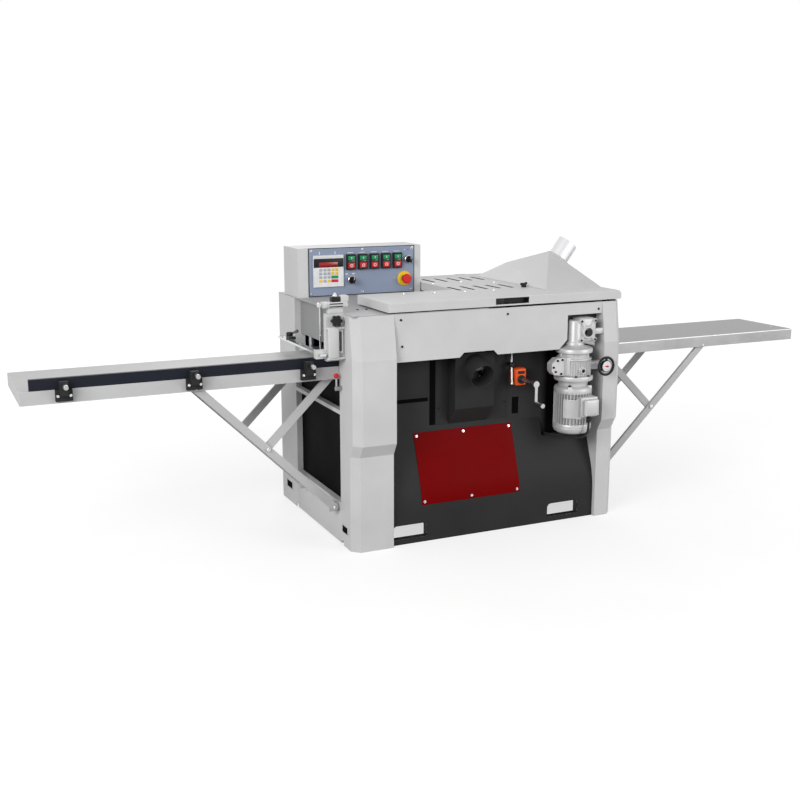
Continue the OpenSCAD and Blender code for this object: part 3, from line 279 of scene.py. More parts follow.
def moulded(name, color, roughness, grain=0.04 * MM, uneven=0.06, gloss=0.3):
    """Moulded plastic or rubber with a fine grain and paler edges that are partly wear and partly a painted
    highlight.
    """
    mat, tree, shader = blank(name)
    place = object_coords(tree)
    fine = noise(tree, place, scale=1500.0, detail=2.0)
    cloud = noise(tree, place, scale=40.0)
    body = ramp(tree, cloud, (0.3, scaled(color, 1 - uneven)), (0.7, scaled(color, 1 + uneven)))
    surface(tree, shader, body, scaled(color, 1.3), edge_radius=0.7 * MM, wear=cloud,
            roughness=(roughness - 0.04, roughness + 0.06), relief=fine, depth=grain)
    shader.inputs["Specular IOR Level"].default_value = gloss
    return mat


def facing(mat, axis, source):
    """Mask: 1 where the surface's normal points along the axis, 0 below the source range."""
    tree = mat.node_tree
    geometry = tree.nodes.new("ShaderNodeNewGeometry")
    return spread(tree, along(tree, geometry.outputs["Normal"], axis), 0, 1, source=source)


def beyond(mat, axis, limit, blend=SHARP):
    """Mask: 1 where the place along the axis, in metres at rest, is past the limit."""
    tree = mat.node_tree
    coords = tree.nodes.new("ShaderNodeTexCoord")
    place = along(tree, coords.outputs["Object"], axis)
    return spread(tree, place, 0, 1, source=(limit, limit + blend))


def recolor(mat, mask, color, metallic=None, roughness=None):
    """Give the material another colour, and finish if given, where the mask is 1."""
    tree = mat.node_tree
    shader = next(n for n in tree.nodes if n.type == "BSDF_PRINCIPLED")
    base = shader.inputs["Base Color"]
    tree.links.new(mix_color(tree, mask, base.links[0].from_socket, color), base)
    if metallic is not None:
        socket = shader.inputs["Metallic"]
        tree.links.new(spread(tree, mask, socket.default_value, metallic, source=(0, 1)), socket)
    if roughness is not None:
        socket = shader.inputs["Roughness"]
        node = tree.nodes.new("ShaderNodeMix")
        node.inputs["B"].default_value = roughness
        tree.links.new(mask, node.inputs["Factor"])
        tree.links.new(socket.links[0].from_socket, node.inputs["A"])
        tree.links.new(node.outputs["Result"], socket)


# Materials of the record's slots
LIGHT_GREY = (0.60, 0.60, 0.60)
CHARCOAL = (0.0265, 0.0265, 0.027)
DARK_RED = (0.165, 0.001, 0.0015)
PANEL_BLUE = (0.26, 0.305, 0.41)
CHROME = (0.70, 0.71, 0.72)
SIGNAL_RED = (0.62, 0.02, 0.025)
ROUGH_PEEL = 0.1 * MM


def bright_plastic(name, color, roughness):
    return moulded(name, color, roughness, grain=0.03 * MM, uneven=0.05, gloss=0.25)


painted("light_paint", LIGHT_GREY, 0.48)
painted("black_paint", CHARCOAL, 0.50, ROUGH_PEEL, edge=1.6, uneven=0.12, gloss=0.10)
painted("frame_paint", (0.10, 0.10, 0.105), 0.55, ROUGH_PEEL, edge=1.4, uneven=0.10, gloss=0.2)
painted("red_paint", DARK_RED, 0.42, peel=0.04 * MM, edge=1.2, gloss=0.03)
painted("panel_paint", PANEL_BLUE, 0.42, peel=0.05 * MM, edge=1.2, gloss=0.15)
cast("cast_bed", (0.42, 0.43, 0.44), 0.42, metallic=0.8, depth=0.1 * MM)
cast("drive_alloy", (0.56, 0.56, 0.565), 0.42, metallic=0.30, depth=0.2 * MM, edge=1.3)
brushed("ground_steel", (0.56, 0.57, 0.58), 0.28)
brushed("bright_steel", CHROME, 0.14, depth=0.01 * MM, edge=1.1)
moulded("black_plastic", (0.012, 0.012, 0.013), 0.42, gloss=0.2)
moulded("white_plastic", (0.74, 0.75, 0.76), 0.40)
bright_plastic("orange_plastic", (0.80, 0.10, 0.015), 0.34)
bright_plastic("red_plastic", SIGNAL_RED, 0.33)
bright_plastic("green_plastic", (0.015, 0.26, 0.10), 0.35)
moulded("cable_rubber", (0.014, 0.014, 0.014), 0.55, grain=0.08 * MM)
moulded("roller_rubber", (0.016, 0.016, 0.016), 0.62, grain=0.12 * MM)

# Table steel with a painted highlight along its upper edge and painted shade on its top
TABLE_HIGHLIGHT_Z = 0.6975
SHADED_TOP_FACES = (0.8, 0.95)
table = brushed("table_steel", (0.36, 0.36, 0.365), 0.42, LINES_X)
# Painted highlight: a pale band along the upper edge
recolor(table, beyond(table, UP, TABLE_HIGHLIGHT_Z), (0.80, 0.80, 0.80))
# Painted shade on the faces that look up
recolor(table, facing(table, UP, SHADED_TOP_FACES), (0.30, 0.30, 0.305))

# Looks of single pieces that differ from their slot's own
# Near black for painted shade in openings and gaps
painted("painted_shade", (0.004, 0.004, 0.004), 0.8, ROUGH_PEEL, edge=1.2, uneven=0.1, gloss=0.02)
painted("plate_paint", (0.036, 0.036, 0.037), 0.52, ROUGH_PEEL, edge=1.4, uneven=0.12, gloss=0.08)
painted("table_paint", (0.50, 0.50, 0.50), 0.46)
brushed("dark_steel", (0.035, 0.035, 0.036), 0.35)
moulded("key_grey", (0.40, 0.42, 0.45), 0.42)
bright_plastic("yellow", (0.80, 0.52, 0.02), 0.38)
moulded("lit_window", (0.30, 0.006, 0.008), 0.18, grain=0.01 * MM, uneven=0.1, gloss=0.5)
moulded("dark_lens", (0.010, 0.060, 0.030), 0.16, grain=0.01 * MM, uneven=0.1, gloss=0.5)

# Sheets inside the posts: nearly black at the ends, and a painted shadow, nearly black, in the bay of the
# drive
END_PANEL_X = 0.555
END_AND_SHADOW_BLACK = (0.003, 0.003, 0.0033)
BAY_SHADOW_START = 0.588
BAY_SHADOW_BLEND = 0.03
walls = painted("wall_paint", (0.045, 0.045, 0.046), 0.60, ROUGH_PEEL, edge=1.4, uneven=0.12, gloss=0.02)
# Painted shadow in the bay of the drive
recolor(walls, beyond(walls, RIGHT + FRONT, BAY_SHADOW_START, BAY_SHADOW_BLEND), END_AND_SHADOW_BLACK)
recolor(walls, beyond(walls, RIGHT, END_PANEL_X), END_AND_SHADOW_BLACK)
recolor(walls, beyond(walls, LEFT, END_PANEL_X), END_AND_SHADOW_BLACK)

# Deck with painted shade on the guard below it
GUARD_SHADE_TOP_Z = 0.9015
deck = painted("deck_paint", (0.40, 0.40, 0.405), 0.46)
recolor(deck, beyond(deck, DOWN, -GUARD_SHADE_TOP_Z), (0.28, 0.28, 0.285))

# Steel with painted shade on its undersides
SHADED_UNDERSIDES = (0.0, 0.7)
satin_painted_shade = brushed("satin_painted_shade", (0.50, 0.50, 0.51), 0.34)
recolor(satin_painted_shade, facing(satin_painted_shade, DOWN, SHADED_UNDERSIDES), (0.10, 0.10, 0.10))

# Painted hood with a bare metal duct
DUCT_LEAN = math.radians(37)
DUCT_WAY = (math.sin(DUCT_LEAN), 0, math.cos(DUCT_LEAN))
DUCT_ROOT = 1.160
hood = painted("hood_paint", (0.55, 0.55, 0.55), 0.48)
recolor(hood, beyond(hood, DUCT_WAY, DUCT_ROOT), (0.74, 0.74, 0.75), metallic=0.85, roughness=0.30)

# Dark fence with steel rods in front of it
FENCE_FACE_Y = -0.2805
fence = painted("fence_paint", (0.014, 0.016, 0.024), 0.40, ROUGH_PEEL, edge=1.5, uneven=0.1, gloss=0.10)
recolor(fence, beyond(fence, FRONT, -FENCE_FACE_Y), (0.28, 0.28, 0.285), metallic=1.0, roughness=0.22)

# Red ball above a steel lever
LEVER_BALL_Z = 0.6600
lever = bright_plastic("lever", SIGNAL_RED, 0.33)
recolor(lever, beyond(lever, DOWN, -LEVER_BALL_Z), (0.40, 0.40, 0.41), metallic=1.0, roughness=0.22)

NODE_LOOKS = {
    "cabinet_panels": "wall_paint",
    "drive_shaft": "dark_steel",
    "width_crank": "satin_painted_shade",
    "dust_hood": "hood_paint",
    "top_deck": "deck_paint",
    "infeed_table": "table_paint",
    "table_braces": "table_paint",
    "infeed_fence": "fence_paint",
    "depth_lever": "lever",
}


def dress_nodes():
    for part in frame["record"]["subparts"]:
        name = part["node"]
        materials = frame["nodes"][name].data.materials
        materials.clear()
        materials.append(MATERIALS[NODE_LOOKS.get(name, part["material_slot"])])


dress_nodes()


# Feed motor's cable, along the points of its solid
CABLE_D = 10 * MM
CABLE_POINTS = [
    (391, -499, 437), (391, -499, 424), (391, -499, 408), (389.5, -496, 392), (385, -488, 378),
    (379, -476, 369), (371, -462, 366), (358, -438, 364), (344, -411, 362), (330, -385, 361),
    (317, -361, 360), (309, -343, 358), (304, -326, 357.3), (302, -314, 357.3), (302, -303.3, 357.3),
]


def add_cable():
    path = [Vector(p) * MM for p in CABLE_POINTS]
    data = bpy.data.curves.new("motor_cable", "CURVE")
    data.dimensions = "3D"
    data.bevel_depth = CABLE_D / 2
    data.bevel_resolution = 6
    data.use_fill_caps = True
    line = data.splines.new("POLY")
    line.points.add(len(path) - 1)
    for point, at in zip(line.points, path):
        point.co = (*at, 1)
    data.materials.append(MATERIALS["cable_rubber"])
    cable = shown("motor_cable", data)
    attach(cable, "cabinet")
    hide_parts("feed_motor_cable")


add_cable()


# Mesh helpers, in millimetres
SMOOTH_BELOW = math.radians(40)
SCREW_SIDES = 20
WASHER_T = 1.2
WASHER_SPREAD = 1.45


def lathe(bm, at, axis, profile, sides, closed=False):
    """Turned form: (radius, height) steps along the axis from at; a radius of 0 closes an end."""
    turn = Vector(axis).to_track_quat("Z", "Y").to_matrix()
    rings = []
    for radius, height in profile:
        count = sides if radius else 1
        rings.append([
            bm.verts.new(Vector(at) + turn @ Vector((
                radius * math.cos(math.tau * k / sides), radius * math.sin(math.tau * k / sides), height
            ))) for k in range(count)
        ])
    if closed:
        rings.append(rings[0])
    for low, high in zip(rings, rings[1:]):
        for k in range(sides):
            corners = (low[k % len(low)], low[(k + 1) % len(low)],
                       high[(k + 1) % len(high)], high[k % len(high)])
            face = list(dict.fromkeys(corners))
            if len(face) > 2:
                bm.faces.new(face)


def rod(bm, at, axis, radius, length, sides):
    """Round bar or disk with flat ends."""
    lathe(bm, at, axis, [(0, 0), (radius, 0), (radius, length), (0, length)], sides)


def slab(bm, low, high, radius, steps):
    """Box between two corners with rounded edges."""
    verts = bmesh.ops.create_cube(bm, size=1.0)["verts"]
    for v in verts:
        v.co = Vector(a + (c + 0.5) * (b - a) for a, b, c in zip(low, high, v.co))
    edges = list({e for v in verts for e in v.link_edges})
    bmesh.ops.bevel(bm, geom=edges, offset=radius, segments=steps, profile=0.5, affect="EDGES")


def swept(bm, near, far):
    """Closed form between two loops with the same number of corners."""
    near = [bm.verts.new(corner) for corner in near]
    far = [bm.verts.new(corner) for corner in far]
    bm.faces.new(near)
    bm.faces.new(list(reversed(far)))
    count = len(near)
    for k in range(count):
        bm.faces.new((near[k], far[k], far[(k + 1) % count], near[(k + 1) % count]))


def prism(bm, outline, y0, y1):
    """Outline in X and Z, swept along Y."""
    swept(bm, [(x, y0, z) for x, z in outline], [(x, y1, z) for x, z in outline])


def column(bm, outline, z0, z1):
    """Outline in X and Y, swept along Z."""
    swept(bm, [(x, y, z0) for x, y in outline], [(x, y, z1) for x, y in outline])


def ring_outline(bm, outer, inner, y0, y1):
    """Band between two outlines with the same number of points in X and Z, swept along Y."""
    edges = ((outer, y0), (inner, y0), (inner, y1), (outer, y1))
    loops = [[bm.verts.new((x, y, z)) for x, z in line] for line, y in edges]
    count = len(outer)
    for a, b in zip(loops, loops[1:] + loops[:1]):
        for k in range(count):
            bm.faces.new((a[k], b[k], b[(k + 1) % count], a[(k + 1) % count]))


def piece(name, bm, slot, body="cabinet", look=None, replaced=()):
    """Object of the scene from a mesh in millimetres, carried by a body."""
    bmesh.ops.recalc_face_normals(bm, faces=bm.faces)
    bmesh.ops.scale(bm, vec=(MM, MM, MM), verts=bm.verts)
    mesh = bpy.data.meshes.new(name)
    bm.to_mesh(mesh)
    bm.free()
    mesh.shade_smooth()
    mesh.set_sharp_from_angle(angle=SMOOTH_BELOW)
    mesh.materials.append(MATERIALS[look or slot])
    obj = shown(name, mesh)
    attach(obj, body)
    if replaced:
        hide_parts(*replaced)


def screws(name, spots, axis, radius, height, slot, body="cabinet", washer=1.0):
    """Button-head screws with a socket, each on a thin washer when the washer is wider than the head."""
    bm = bmesh.new()
    rim = 0.25 * height
    for at in spots:
        base = 0.0
        if washer > 1.0:
            rod(bm, at, axis, washer * radius, rim, SCREW_SIDES)
            base = rim
        lathe(bm, at, axis, [
            (0, base), (radius, base), (radius, base + 0.55 * height), (0.82 * radius, base + height),
            (0.5 * radius, base + height), (0.45 * radius, base + 0.4 * height), (0, base + 0.4 * height),
        ], SCREW_SIDES)
    piece(name, bm, slot, body)


def hex_bolts(name, spots, axis, radius, height, slot):
    """Hexagon heads with a chamfered top on round washers."""
    bm = bmesh.new()
    for at in spots:
        rod(bm, at, axis, WASHER_SPREAD * radius, WASHER_T, SCREW_SIDES)
        lathe(bm, at, axis, [
            (0, WASHER_T), (radius, WASHER_T), (radius, height - 1), (0.84 * radius, height), (0, height),
        ], 6)
    piece(name, bm, slot)


# Control panel
PANEL_LOW, PANEL_HIGH = box_mm("control_panel")
PANEL_Y = PANEL_LOW.y
DARK_RIM_W = 3.4
SCREW_INSET = 8
STATIONS = range(1, 6)
STATION_X = [centre_mm(f"start_button_{i}").x for i in STATIONS]
LENS_ROOM = 5
LENS_GAP = 0.8
LENS_T = 3
LENS_Y = box_mm("switch_bodies")[0].y
LENS_LOW_Z = box_mm("stop_button_1")[1].z + LENS_GAP
LENS_HIGH_Z = box_mm("start_button_1")[0].z + LENS_ROOM - LENS_GAP
SELECTORS = [(-352, 970), (-93, 1046)]
SELECTOR_FACE = box_mm("selector_1")[0].y
ESTOP = centre_mm("estop_button")


def add_panel_trim():
    low_x, panel_front, low_z = PANEL_LOW
    high_x, panel_back, high_z = PANEL_HIGH
    inner = [(low_x, low_z), (high_x, low_z), (high_x, high_z), (low_x, high_z)]
    outer = [(low_x - DARK_RIM_W, low_z - DARK_RIM_W), (high_x + DARK_RIM_W, low_z - DARK_RIM_W),
             (high_x + DARK_RIM_W, high_z + 0.8 * DARK_RIM_W), (low_x - DARK_RIM_W, high_z + 0.8 * DARK_RIM_W)]
    # Dark band round the panel
    bm = bmesh.new()
    ring_outline(bm, outer, inner, panel_front + 0.6, panel_back)
    piece("panel_dark_rim", bm, "cable_rubber")
    columns = (low_x + SCREW_INSET, (low_x + high_x) / 2, high_x - SCREW_INSET)
    rows = (low_z + SCREW_INSET, high_z - SCREW_INSET)
    spots = [(x, panel_front, z) for x in columns for z in rows]
    screws("panel_screws", spots, FRONT, 4.2, 2.6, "bright_steel", washer=1.3)


# Display and its keys, by column and row
DISPLAY_LOW, DISPLAY_HIGH = box_mm("display_unit")
DISPLAY_Y = DISPLAY_LOW.y
KEY_COLUMNS = (-488.5, -470, -452.5, -435.5, -418.5)
KEY_ROWS = (1016, 1001, 986, 970.5)
YELLOW_KEYS = [(3, 0), (4, 0), (3, 1), (4, 1), (0, 3), (2, 3)]
GREY_KEYS = [(c, r) for c in range(3) for r in range(4) if (c, r) not in YELLOW_KEYS]


def key_slab(bm, first, last, row, half_x, half_z, stand):
    """Key over the columns from first to last, standing out of the display."""
    slab(bm, (KEY_COLUMNS[first] - half_x, DISPLAY_Y - stand, KEY_ROWS[row] - half_z),
         (KEY_COLUMNS[last] + half_x, DISPLAY_Y + 0.4, KEY_ROWS[row] + half_z), 1.0, 2)


def add_display():
    bm = bmesh.new()
    slab(bm, (DISPLAY_LOW.x + 0.5, DISPLAY_Y - 0.8, 1026),
         (DISPLAY_HIGH.x - 0.5, DISPLAY_Y + 1.6, 1062), 0.8, 2)
    piece("display_band", bm, "black_plastic")
    bm = bmesh.new()
    slab(bm, (-496, DISPLAY_Y - 1.6, 1029), (-413, DISPLAY_Y, 1047), 0.7, 2)
    piece("display_window", bm, "red_plastic", look="lit_window")
    groups = (
        ("keys_grey", GREY_KEYS, "white_plastic", "key_grey"),
        ("keys_yellow", YELLOW_KEYS, "orange_plastic", "yellow"),
    )
    for name, keys, slot, look in groups:
        bm = bmesh.new()
        for at, row in keys:
            key_slab(bm, at, at, row, half_x=6.6, half_z=5.6, stand=1.4)
        piece(name, bm, slot, look=look)
    for name, row, slot in (("key_run", 2, "green_plastic"), ("key_halt", 3, "red_plastic")):
        bm = bmesh.new()
        key_slab(bm, 3, 4, row, half_x=6.8, half_z=5.8, stand=1.5)
        piece(name, bm, slot)


def add_stations():
    """Caps with their marks and the lens between them; each cap stands for its push button."""
    for i in STATIONS:
        for kind, slot in (("start", "green_plastic"), ("stop", "red_plastic")):
            body = f"{kind}_button_{i}"
            low, high = box_mm(body)
            x, z = centre_mm(body).xz
            mark = bmesh.new()
            if kind == "start":
                low.z += LENS_ROOM
                slab(mark, (x - 1.3, low.y - 0.4, z - 2), (x + 1.3, low.y + 0.6, z + 7), 0.3, 1)
            else:
                ring = [(4.2, 0), (6.4, 0), (6.4, 1), (4.2, 1)]
                lathe(mark, (x, low.y + 0.6, z), FRONT, ring, 28, closed=True)
            cap = bmesh.new()
            slab(cap, low, high, 1.8, 3)
            piece(f"{kind}_cap_{i}", cap, slot, body, replaced=(body,))
            piece(f"{kind}_mark_{i}", mark, "white_plastic", body)
    bm = bmesh.new()
    for x in STATION_X:
        slab(bm, (x - 13.5, LENS_Y, LENS_LOW_Z), (x + 13.5, LENS_Y + LENS_T, LENS_HIGH_Z), 0.8, 2)
    piece("station_lenses", bm, "green_plastic", look="dark_lens")


def add_panel_rings():
    bezel = [(15.1, 0), (18.5, 0), (18.5, 3), (17, 12), (15.1, 13.4)]
    collar = [(15.2, 0), (31.5, 0), (31.5, 3), (29.5, 6), (22, 8.5), (15.2, 8.5)]
    bm = bmesh.new()
    for x, z in SELECTORS:
        lathe(bm, (x, PANEL_Y, z), FRONT, bezel, 40, closed=True)
    piece("selector_bezels", bm, "bright_steel")
    for i, (x, z) in enumerate(SELECTORS, 1):
        bm = bmesh.new()
        slab(bm, (x - 0.9, SELECTOR_FACE - 0.7, z + 2), (x + 0.9, SELECTOR_FACE + 1, z + 11.6), 0.3, 1)
        piece(f"selector_line_{i}", bm, "white_plastic", f"selector_{i}")
    bm = bmesh.new()
    lathe(bm, (ESTOP.x, PANEL_Y, ESTOP.z), FRONT, collar, 48, closed=True)
    piece("estop_collar", bm, "orange_plastic", look="yellow")


def add_panel_marks():
    """Plain strokes and dots printed on the panel."""
    ink_front = PANEL_Y - 0.35
    ink_back = PANEL_Y + 0.2
    ink = ink_back - ink_front
    strokes = [(x, 1.6, 1078, 1090) for x in (-490, -422)]
    strokes += [(x, 13, 1080.5, 1083) for x in STATION_X]
    strokes += [(x, 6, 993, 997) for x in (-372, -341)]
    bm = bmesh.new()
    for x, half, low_z, high_z in strokes:
        slab(bm, (x - half, ink_front, low_z), (x + half, ink_back, high_z), 0.15, 1)
    for x, z in ((-108, 1087), (-78, 1087), (-153, 970)):
        rod(bm, (x, ink_back, z), FRONT, 2, ink, 16)
    piece("panel_marks", bm, "white_plastic")
    bm = bmesh.new()
    rod(bm, (-92, ink_back, 1087), FRONT, 3.4, ink, 18)
    piece("panel_red_mark", bm, "red_plastic")


# Screws of the lid, fascia, deck and recess wall, and the lid's catch
LID_TOP = box_mm("dust_hood")[0].z
LID_FRONT = box_mm("lid")[0].y
FASCIA_Y = box_mm("front_fascia")[0].y
DECK_TOP = box_mm("control_box")[0].z
WALL_Y = box_mm("cabinet_panels")[0].y
WALL_PLATE_T = 2.6
LID_SPOTS = [(-269, -171), (-150, -200), (-20, -209), (107, -215), (-13, 90), (130, 108), (247, 29)]
FASCIA_SPOTS = [(-394, 880.5), (-389, 781), (59, 877), (478, 874)]
DECK_SPOTS = [(-500, -253), (-466, -258)]
WALL_SPOTS = [(x, z) for x in (-183, 116) for z in (504, 692)]


def add_fixings():
    screws("lid_screws", [(x, y, LID_TOP) for x, y in LID_SPOTS], UP, 5, 3, "bright_steel", "lid", washer=1.4)
    screws("fascia_screws", [(x, FASCIA_Y, z) for x, z in FASCIA_SPOTS], FRONT, 4.5, 3, "black_plastic")
    screws("deck_screws", [(x, y, DECK_TOP) for x, y in DECK_SPOTS], UP, 4.5, 3, "black_plastic")
    wall_spots = [(x, WALL_Y - WALL_PLATE_T, z) for x, z in WALL_SPOTS]
    screws("wall_screws", wall_spots, FRONT, 4, 2.5, "black_plastic")
    catch_y = LID_FRONT - 0.4
    bm = bmesh.new()
    slab(bm, (3.4, catch_y, 917.5), (38, catch_y + 8.4, 938.3), 1.2, 3)
    for x in (9, 16, 23, 30):
        slab(bm, (x, catch_y - 1, 921), (x + 3, catch_y + 1, 935), 0.6, 2)
    piece("lid_catch", bm, "black_plastic", "lid")


# Skirt: screws of its plate, and liners of the openings for a fork
SKIRT_FOOT_Y = box_mm("front_skirt")[0].y
SKIRT_BEND_Z = 110
SKIRT_R = 350
SKIRT_LEAN = math.radians(19.3)
PLATE_T = 2.1
PLATE_SCREW_X = (-281, -75, 132)
PLATE_SCREW_ROWS = (("low", 160), ("high", 404))
FORK_X = (-418, 277)
FORK_W = 146
FORK_Z = (20, 78)
FORK_R = 18
FORK_WALL = 2
FORK_STEPS = 6


def skirt_face(z):
    """Y of the skirt's face at a height above its bend's start, and its lean there."""
    lean = min(math.asin((z - SKIRT_BEND_Z) / SKIRT_R), SKIRT_LEAN)
    bend_in = SKIRT_R * (1 - math.cos(lean))
    bend_z = SKIRT_BEND_Z + SKIRT_R * math.sin(lean)
    return SKIRT_FOOT_Y + bend_in + (z - bend_z) * math.tan(lean), lean


def fork_outline(x, inset):
    """Rectangle with rounded upper corners, in X and Z."""
    low_x, high_x = x + inset, x + FORK_W - inset
    low_z, high_z = FORK_Z[0] + inset, FORK_Z[1] - inset
    r = FORK_R - inset
    turns = [math.pi / 2 * k / FORK_STEPS for k in range(FORK_STEPS + 1)]
    right = [(high_x - r + r * math.cos(t), high_z - r + r * math.sin(t)) for t in turns]
    left = [(low_x + r - r * math.sin(t), high_z - r + r * math.cos(t)) for t in turns]
    return [(low_x, low_z), (high_x, low_z)] + right + left


def add_skirt_trim():
    for row, z in PLATE_SCREW_ROWS:
        y, lean = skirt_face(z)
        normal = Vector((0, -math.cos(lean), math.sin(lean)))
        spots = [Vector((x, y, z)) + PLATE_T * normal for x in PLATE_SCREW_X]
        screws(f"plate_screws_{row}", spots, normal, 4.2, 2.6, "bright_steel", washer=1.3)
    bm = bmesh.new()
    for x in FORK_X:
        outer = fork_outline(x, 0)
        inner = fork_outline(x, FORK_WALL)
        ring_outline(bm, outer, inner, SKIRT_FOOT_Y + 3.2, SKIRT_FOOT_Y + 28)
    piece("fork_liners", bm, "black_paint")


# Feed drive: fuller forms in the places of its solids
DRIVE_X = centre_mm("feed_motor").x
DRIVE_Y = -403
DRIVE_BACK = box_mm("feed_gearbox")[1].y
MOTOR_LOW = box_mm("feed_motor")[0].z
MOTOR_HIGH = box_mm("feed_motor")[1].z
VARIATOR_HIGH = box_mm("feed_variator")[1].z
GEAR = centre_mm("drive_shaft")
GEAR_FACE = -433
GEAR_HALF_X = 42
GEAR_HALF_Z = 47
GEAR_LIFT = 8
WHEEL = Vector((483, box_mm("speed_handwheel")[0].y, 650))
ARC_STEPS = 10


def on_axis(bm, profile, sides=64):
    lathe(bm, (DRIVE_X, DRIVE_Y, 0), UP, profile, sides)


def around(radius, angles, z):
    """Places on a circle about the drive's axis, at angles in degrees."""
    turns = [math.radians(a) for a in angles]
    return [(DRIVE_X + radius * math.cos(t), DRIVE_Y + radius * math.sin(t), z) for t in turns]


def polar_column(bm, outline, z0, z1):
    """Outline of (radius, angle) about the drive's axis, swept along Z."""
    points = [(DRIVE_X + r * math.cos(a), DRIVE_Y + r * math.sin(a)) for r, a in outline]
    column(bm, points, z0, z1)


def fluted(bm, z0, z1, low_r, high_r, teeth, share):
    """Toothed drum on the drive's axis; each tooth takes a share of its pitch."""
    pitch = math.tau / teeth
    tooth = ((low_r, 0), (high_r, 0.1), (high_r, share), (low_r, share + 0.1))
    polar_column(bm, [(r, pitch * (k + turn)) for k in range(teeth) for r, turn in tooth], z0, z1)


def arc_plate(bm, low_r, high_r, start, end, z0, z1):
    """Curved plate on the drive's axis between two angles in degrees."""
    angles = [math.radians(start + (end - start) * k / ARC_STEPS) for k in range(ARC_STEPS + 1)]
    polar_column(bm, [(high_r, a) for a in angles] + [(low_r, a) for a in reversed(angles)], z0, z1)


def cut_back(bm, y):
    """Take off what lies behind y, and close the cut."""
    geom = bm.verts[:] + bm.edges[:] + bm.faces[:]
    bmesh.ops.bisect_plane(bm, geom=geom, plane_co=(0, y, 0), plane_no=BACK, clear_outer=True)
    bmesh.ops.holes_fill(bm, edges=[e for e in bm.edges if e.is_boundary], sides=0)


def add_variator():
    low, high = MOTOR_HIGH, VARIATOR_HIGH
    cover = [(0, 705), (61, 705), (72, 706), (74, 708), (74, 721), (72, 724), (60, 726.5), (42, 733),
             (40, high), (0, high)]
    drum = [(0, low), (59, low), (59, 592), (61, 595), (76.5, 595), (78, 597), (78, 612), (76.5, 614),
            (64, 615), (64, 677), (68.5, 677), (70, 679), (70, 683), (68.5, 685), (61, 686), (61, 705),
            (0, 705)]
    bm = bmesh.new()
    on_axis(bm, cover)
    cut_back(bm, DRIVE_BACK)
    on_axis(bm, drum)
    fluted(bm, 616, 676, low_r=65, high_r=69, teeth=44, share=0.5)
    for at in around(60, range(0, 360, 60), 684):
        if at[1] < DRIVE_BACK - 10:
            rod(bm, at, UP, 5, 23, 16)
    tip, top, waist = -124, 120, -44
    housing = ((tip, 68), (tip + 12, 52), (waist, 40), (waist, top), (tip + 22, top - 4), (tip, 97))
    housing_face = -437
    prism(bm, [(DRIVE_X + x, low + z) for x, z in housing], housing_face, -402)
    slab(bm, (DRIVE_X - 62, -449, 617), (DRIVE_X - 40, -372, 693), 5, 3)
    slab(bm, (DRIVE_X + 50, -440, 634), (494, -399, 666), 6, 3)
    wheel_boss = [(9, 0), (17, 0), (17, 8), (14, 13), (9, 13)]
    lathe(bm, (WHEEL.x, -438, WHEEL.z), FRONT, wheel_boss, 32, closed=True)
    plug_x, plug_z = DRIVE_X - 6, 640
    plug_boss = [(0, 0), (15, 0), (15, 12), (12.5, 14), (11.5, 22), (8.5, 22), (7.5, 19), (0, 19)]
    lathe(bm, (plug_x, -462, plug_z), FRONT, plug_boss, 32)
    piece("variator_case", bm, "drive_alloy", replaced=("feed_variator",))
    hex_bolts("variator_bolts", around(73.5, (-160, -115, -70, -25, 20), 614), UP, 4.2, 5.5, "black_plastic")
    offsets = [(-116, 82), (-106, 64), (-80, 54), (-98, 108), (-76, 110)]
    spots = [(DRIVE_X + x, housing_face, low + z) for x, z in offsets]
    screws("housing_screws", spots, FRONT, 4.6, 4, "black_plastic")
    plug = [(0, 0), (7.2, 0), (7.2, 1.6), (3, 1.6), (2.6, 0.6), (0, 0.6)]
    bm = bmesh.new()
    lathe(bm, (plug_x, -481, plug_z), FRONT, plug, 28)
    piece("variator_plug", bm, "black_plastic")


def add_gearbox():
    low = VARIATOR_HIGH
    neck = [(0, low), (37, low), (37, 741), (34, 747), (31, 751), (31, 828), (27, 834), (0, 836)]
    rib = [(0, 0), (4, 0), (4, 78), (0, 82)]
    shaft_boss = [(17, 0), (28, 0), (28, 5), (25, 9), (24, 11), (19, 11), (17, 9)]
    corner_boss = [(0, 0), (9, 0), (9, 9), (7.5, 11), (0, 11)]
    bm = bmesh.new()
    on_axis(bm, neck, 48)
    for at in around(30, (-150, -115, -80, -45), 748):
        lathe(bm, at, UP, rib, 12)
    right = GEAR.x + GEAR_HALF_X
    case_z = GEAR.z + GEAR_LIFT
    slab(bm, (GEAR.x - GEAR_HALF_X + 4, GEAR_FACE, case_z - GEAR_HALF_Z),
         (right, DRIVE_BACK - 4, case_z + GEAR_HALF_Z), 8, 3)
    lathe(bm, (GEAR.x, GEAR_FACE + 1, GEAR.z), FRONT, shaft_boss, 48, closed=True)
    hub = GEAR.xz
    corners = [Vector((GEAR.x + dx, case_z + dz)) for dx in (-32, 32) for dz in (-38, 38)]
    for corner in corners:
        lathe(bm, (corner.x, GEAR_FACE + 3, corner.y), FRONT, corner_boss, 24)
        reach = (corner - hub).normalized()
        side = 4 * reach.orthogonal()
        start = hub + 26 * reach
        web = (start - side, corner - side, corner + side, start + side)
        prism(bm, web, GEAR_FACE - 5, GEAR_FACE + 2)
    for y in (-421, -403, -385):
        slab(bm, (right - 2, y, 756), (right + 5, y + 6, 832), 2, 2)
        slab(bm, (GEAR.x - 26, y, 840), (GEAR.x + 32, y + 6, 842), 0.8, 2)
    slab(bm, (right - 4, -427, GEAR.z - 12), (496, -403, GEAR.z + 12), 4, 3)
    piece("gearbox_case", bm, "drive_alloy", replaced=("feed_gearbox",))
    spots = [(corner.x, GEAR_FACE - 8, corner.y) for corner in corners]
    screws("gearbox_screws", spots, FRONT, 4.6, 3.6, "black_plastic")


FEET_R = 66
FEET_ANGLES = (-135, -45, 45)
TERMINAL_FACE = -517
GLAND_X, GLAND_Y = CABLE_POINTS[0][:2]


